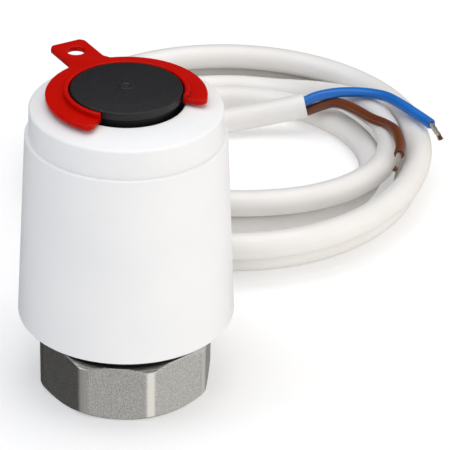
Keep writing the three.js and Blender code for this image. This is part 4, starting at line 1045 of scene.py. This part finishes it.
def bevelled_plate(name, outlines, bottom, top, bevel, material):
    """A plate between two heights, its outlines kept and its edges rounded."""
    curve = bpy.data.curves.new(name, "CURVE")
    curve.dimensions, curve.fill_mode = "2D", "BOTH"
    curve.extrude = ((top - bottom) / 2 - bevel) * MM
    curve.bevel_depth, curve.bevel_resolution, curve.offset = bevel * MM, 3, -bevel * MM
    for outline in outlines:
        spline = curve.splines.new("POLY")
        spline.points.add(len(outline) - 1)
        spline.use_cyclic_u = True
        for point, (x, y) in zip(spline.points, outline):
            point.co = (x * MM, y * MM, 0, 1)
    mesh = baked(linked(name, curve))
    mesh.transform(Matrix.Translation((0, 0, (bottom + top) / 2 * MM)))
    mesh.materials.clear()
    mesh.materials.append(material)
    return clean(mesh)


def tab_point(outward, aside):
    """A point of the tab, measured out along it and across it."""
    c, s = math.cos(TAB_AZIMUTH), math.sin(TAB_AZIMUTH)
    return (outward * c - aside * s, outward * s + aside * c)


def mouth_corner(mouth, side):
    """The rounded outer corner of the plate's end, from its end face out to the rim."""
    corner = []
    for i in range(CORNER_STEPS + 1):
        turn = i / CORNER_STEPS * math.pi / 2
        radius = CLIP_FLANGE - MOUTH_CORNER * (1 - math.sin(turn))
        angle = mouth + side * MOUTH_CORNER * (1 - math.cos(turn)) / CLIP_FLANGE
        corner.append((radius * math.cos(angle), radius * math.sin(angle)))
    return corner


root_angle = math.asin(TAB_ROOT_HALF / CLIP_FLANGE)
tab_outline = [
    tab_point(CLIP_FLANGE + TAB_BLEND, -TAB_HALF), tab_point(TAB_END - TAB_CORNER, -TAB_HALF),
    tab_point(TAB_END - TAB_TIP, -TAB_HALF + TAB_CORNER - TAB_CHAMFER),
    tab_point(TAB_END, -TAB_HALF + TAB_CORNER), tab_point(TAB_END, TAB_HALF - TAB_CORNER),
    tab_point(TAB_END - TAB_TIP, TAB_HALF - TAB_CORNER + TAB_CHAMFER),
    tab_point(TAB_END - TAB_CORNER, TAB_HALF), tab_point(CLIP_FLANGE + TAB_BLEND, TAB_HALF),
]
corner_angle = MOUTH_CORNER / CLIP_FLANGE
plate_outline = mouth_corner(MOUTH_FROM, 1)
plate_outline += arc(CLIP_FLANGE, MOUTH_FROM + corner_angle, TAB_AZIMUTH - root_angle, ARC_STEPS)[1:]
plate_outline += tab_outline
plate_outline += arc(CLIP_FLANGE, TAB_AZIMUTH + root_angle, MOUTH_TO - corner_angle, ARC_STEPS)[:-1]
plate_outline += mouth_corner(MOUTH_TO, -1)[::-1]
plate_outline += arc(CLIP_INNER, MOUTH_TO, MOUTH_FROM, 2 * ARC_STEPS)
hole_turn = -math.tau * (HOLE_SIDES - 1) / HOLE_SIDES
hole_outline = [tab_point(TAB_HOLE_AT + x, y) for x, y in arc(TAB_HOLE, 0, hole_turn, HOLE_SIDES - 1)]
collar_outline = arc(CLIP_COLLAR, MOUTH_FROM, MOUTH_TO, 2 * ARC_STEPS)
collar_outline += arc(CLIP_INNER, MOUTH_TO, MOUTH_FROM, 2 * ARC_STEPS)

plate_mesh = bevelled_plate("plate", [plate_outline, hole_outline], clip_low.z,
                            clip_low.z + CLIP_PLATE, PLATE_BEVEL, glossy_pp)
collar_mesh = bevelled_plate("collar", [collar_outline], clip_low.z + COLLAR_LIFT,
                             clip_high.z, COLLAR_EDGE, glossy_pp)
settle("red_clip", combined("UNION", plate_mesh, collar_mesh), "clip", "red_clip", "lock_clip")

# %% [markdown]
# ## The pieces inside
# The remaining parts are right as the frame has them: they only need their finish. Their meshes must
# not change, so a small tree on a modifier merges the loose triangles and shades them smoothly up to
# their real edges.

# %% Finish the inner pieces
softening, given = new_tree("smooth to real edges", Piece_in="Geometry", Edge_angle="Float")
joined = add_node(softening, "GeometryNodeMergeByDistance", {
    "Geometry": given["Piece in"], "Distance": MERGE_DISTANCE})
smooth = add_node(softening, "GeometryNodeSetShadeSmooth", {
    "Geometry": joined.outputs["Geometry"]}, domain="FACE")
edge_angle = add_node(softening, "GeometryNodeInputMeshEdgeAngle")
is_edge = add_node(softening, "FunctionNodeCompare", {
    0: edge_angle.outputs["Unsigned Angle"], 1: given["Edge angle"]},
    data_type="FLOAT", operation="GREATER_THAN")
kept = add_node(softening, "GeometryNodeSetShadeSmooth", {
    "Geometry": smooth.outputs["Geometry"], "Selection": is_edge.outputs["Result"], "Shade Smooth": False},
    domain="EDGE")
add_node(softening, "NodeGroupOutput", {"Piece": kept.outputs["Geometry"]})

FINISHES = {
    natural_pa: ["lift_yoke", "element_carrier", "cable_saddle", "cable_strap"],
    turned_brass: ["guide_bush", "wax_element", "contact_plate_lower", "contact_plate_upper"],
    spring_steel: ["nut_retaining_ring", "wax_piston", "clamp_screw_left", "clamp_screw_right"],
    pressed_epdm: ["cover_seal", "stem_seal"],
    sintered_ptc: ["heater_disc"],
    tinned_sleeve: ["crimp_blue", "crimp_brown"],
    blue_pvc: ["inner_core_blue"],
    brown_pvc: ["inner_core_brown"],
}
for material, names in FINISHES.items():
    for name in names:
        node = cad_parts[name]
        node.data.materials.clear()
        node.data.materials.append(material)
        attach(node, softening, Edge_angle=math.radians(SHARP_DEGREES))
print("finished in place:", sum(len(names) for names in FINISHES.values()))

# %% [markdown]
# ## Table and light
# The object lies on a white table that glows faintly, under soft lamps. One hard lamp would carve a
# black shadow, while a glowing table keeps every shadow pale. Metal shows its surroundings more than
# its lamps, so the studio wall is bright to the right and front and dark to the left and behind: each
# face of the nut then mirrors its own tone. The table would fill all of them with the same white, so
# it is left out of mirror reflections, which a real table can't do.

# %% Table, lamps and view
TABLE_HALF = 3.0
TABLE_TOP = -0.05 * MM
TABLE_GLOW = 0.3
corners = [(x * TABLE_HALF, y * TABLE_HALF, TABLE_TOP) for x, y in ((-1, -1), (1, -1), (1, 1), (-1, 1))]
table_mesh = bpy.data.meshes.new("table")
table_mesh.from_pydata(corners, [], [(0, 1, 2, 3)])
table = linked("table", table_mesh)
# Table: opal acrylic, even and pale, so nothing on it competes with the object. It glows by its own emission
# with no lamp behind it, painted light that pales the shadows on it.
table_mesh.materials.append(moulded(
    "glowing white acrylic", "#E2E2E2", "#E0E0E0", 0.7, 1.5, 0.002,
    **{"Emission Color": linear("#FFFFFF"), "Emission Strength": TABLE_GLOW}))
table.visible_glossy = False

# the studio wall: its mean brightness, and how it grows to the right and to the front
WALL_MEAN = 0.46
WALL_SLOPE = (0.58, -0.32, 0.0)
WALL_DARKEST = 0.06

LAMPS_AIM = Vector((0.01, 0.04, 0.03))
LAMPS = [
    # name, place, size, power, colour
    ("top_softbox", (-0.05, 0.1, 1.1), 1.1, 7.0, "#FFFFFF"),
    ("right_softbox", (1.1, -0.1, 0.15), 0.6, 1.5, "#FFE8CC"),
    ("left_softbox", (-0.8, -0.4, 1.0), 0.7, 2.9, "#DCE7FF"),
]
for name, place, size, power, colour in LAMPS:
    lamp = bpy.data.lights.new(name, "AREA")
    lamp.shape, lamp.size, lamp.energy, lamp.color = "SQUARE", size, power, linear(colour)[:3]
    holder = linked(name, lamp)
    holder.location = place
    holder.rotation_euler = (LAMPS_AIM - Vector(place)).to_track_quat("-Z", "Y").to_euler()

world = bpy.data.worlds.new("studio")
world.use_nodes = True
tree = world.node_tree
tree.nodes.clear()
heading = add_node(tree, "ShaderNodeTexCoord").outputs["Generated"]
toward_bright = add_node(tree, "ShaderNodeVectorMath", {0: heading, 1: WALL_SLOPE}, operation="DOT_PRODUCT")
wall = add_node(tree, "ShaderNodeMath", {0: toward_bright.outputs["Value"], 1: WALL_MEAN}, operation="ADD")
not_black = add_node(tree, "ShaderNodeMath", {0: wall.outputs["Value"], 1: WALL_DARKEST}, operation="MAXIMUM")
sky = add_node(tree, "ShaderNodeBackground", {
    "Color": linear("#FFFEFD"), "Strength": not_black.outputs["Value"]})
add_node(tree, "ShaderNodeOutputWorld", {"Surface": sky.outputs["Background"]})
bpy.context.scene.world = world
bpy.context.scene.view_settings.view_transform = "Standard"
print("lamps:", len(LAMPS))
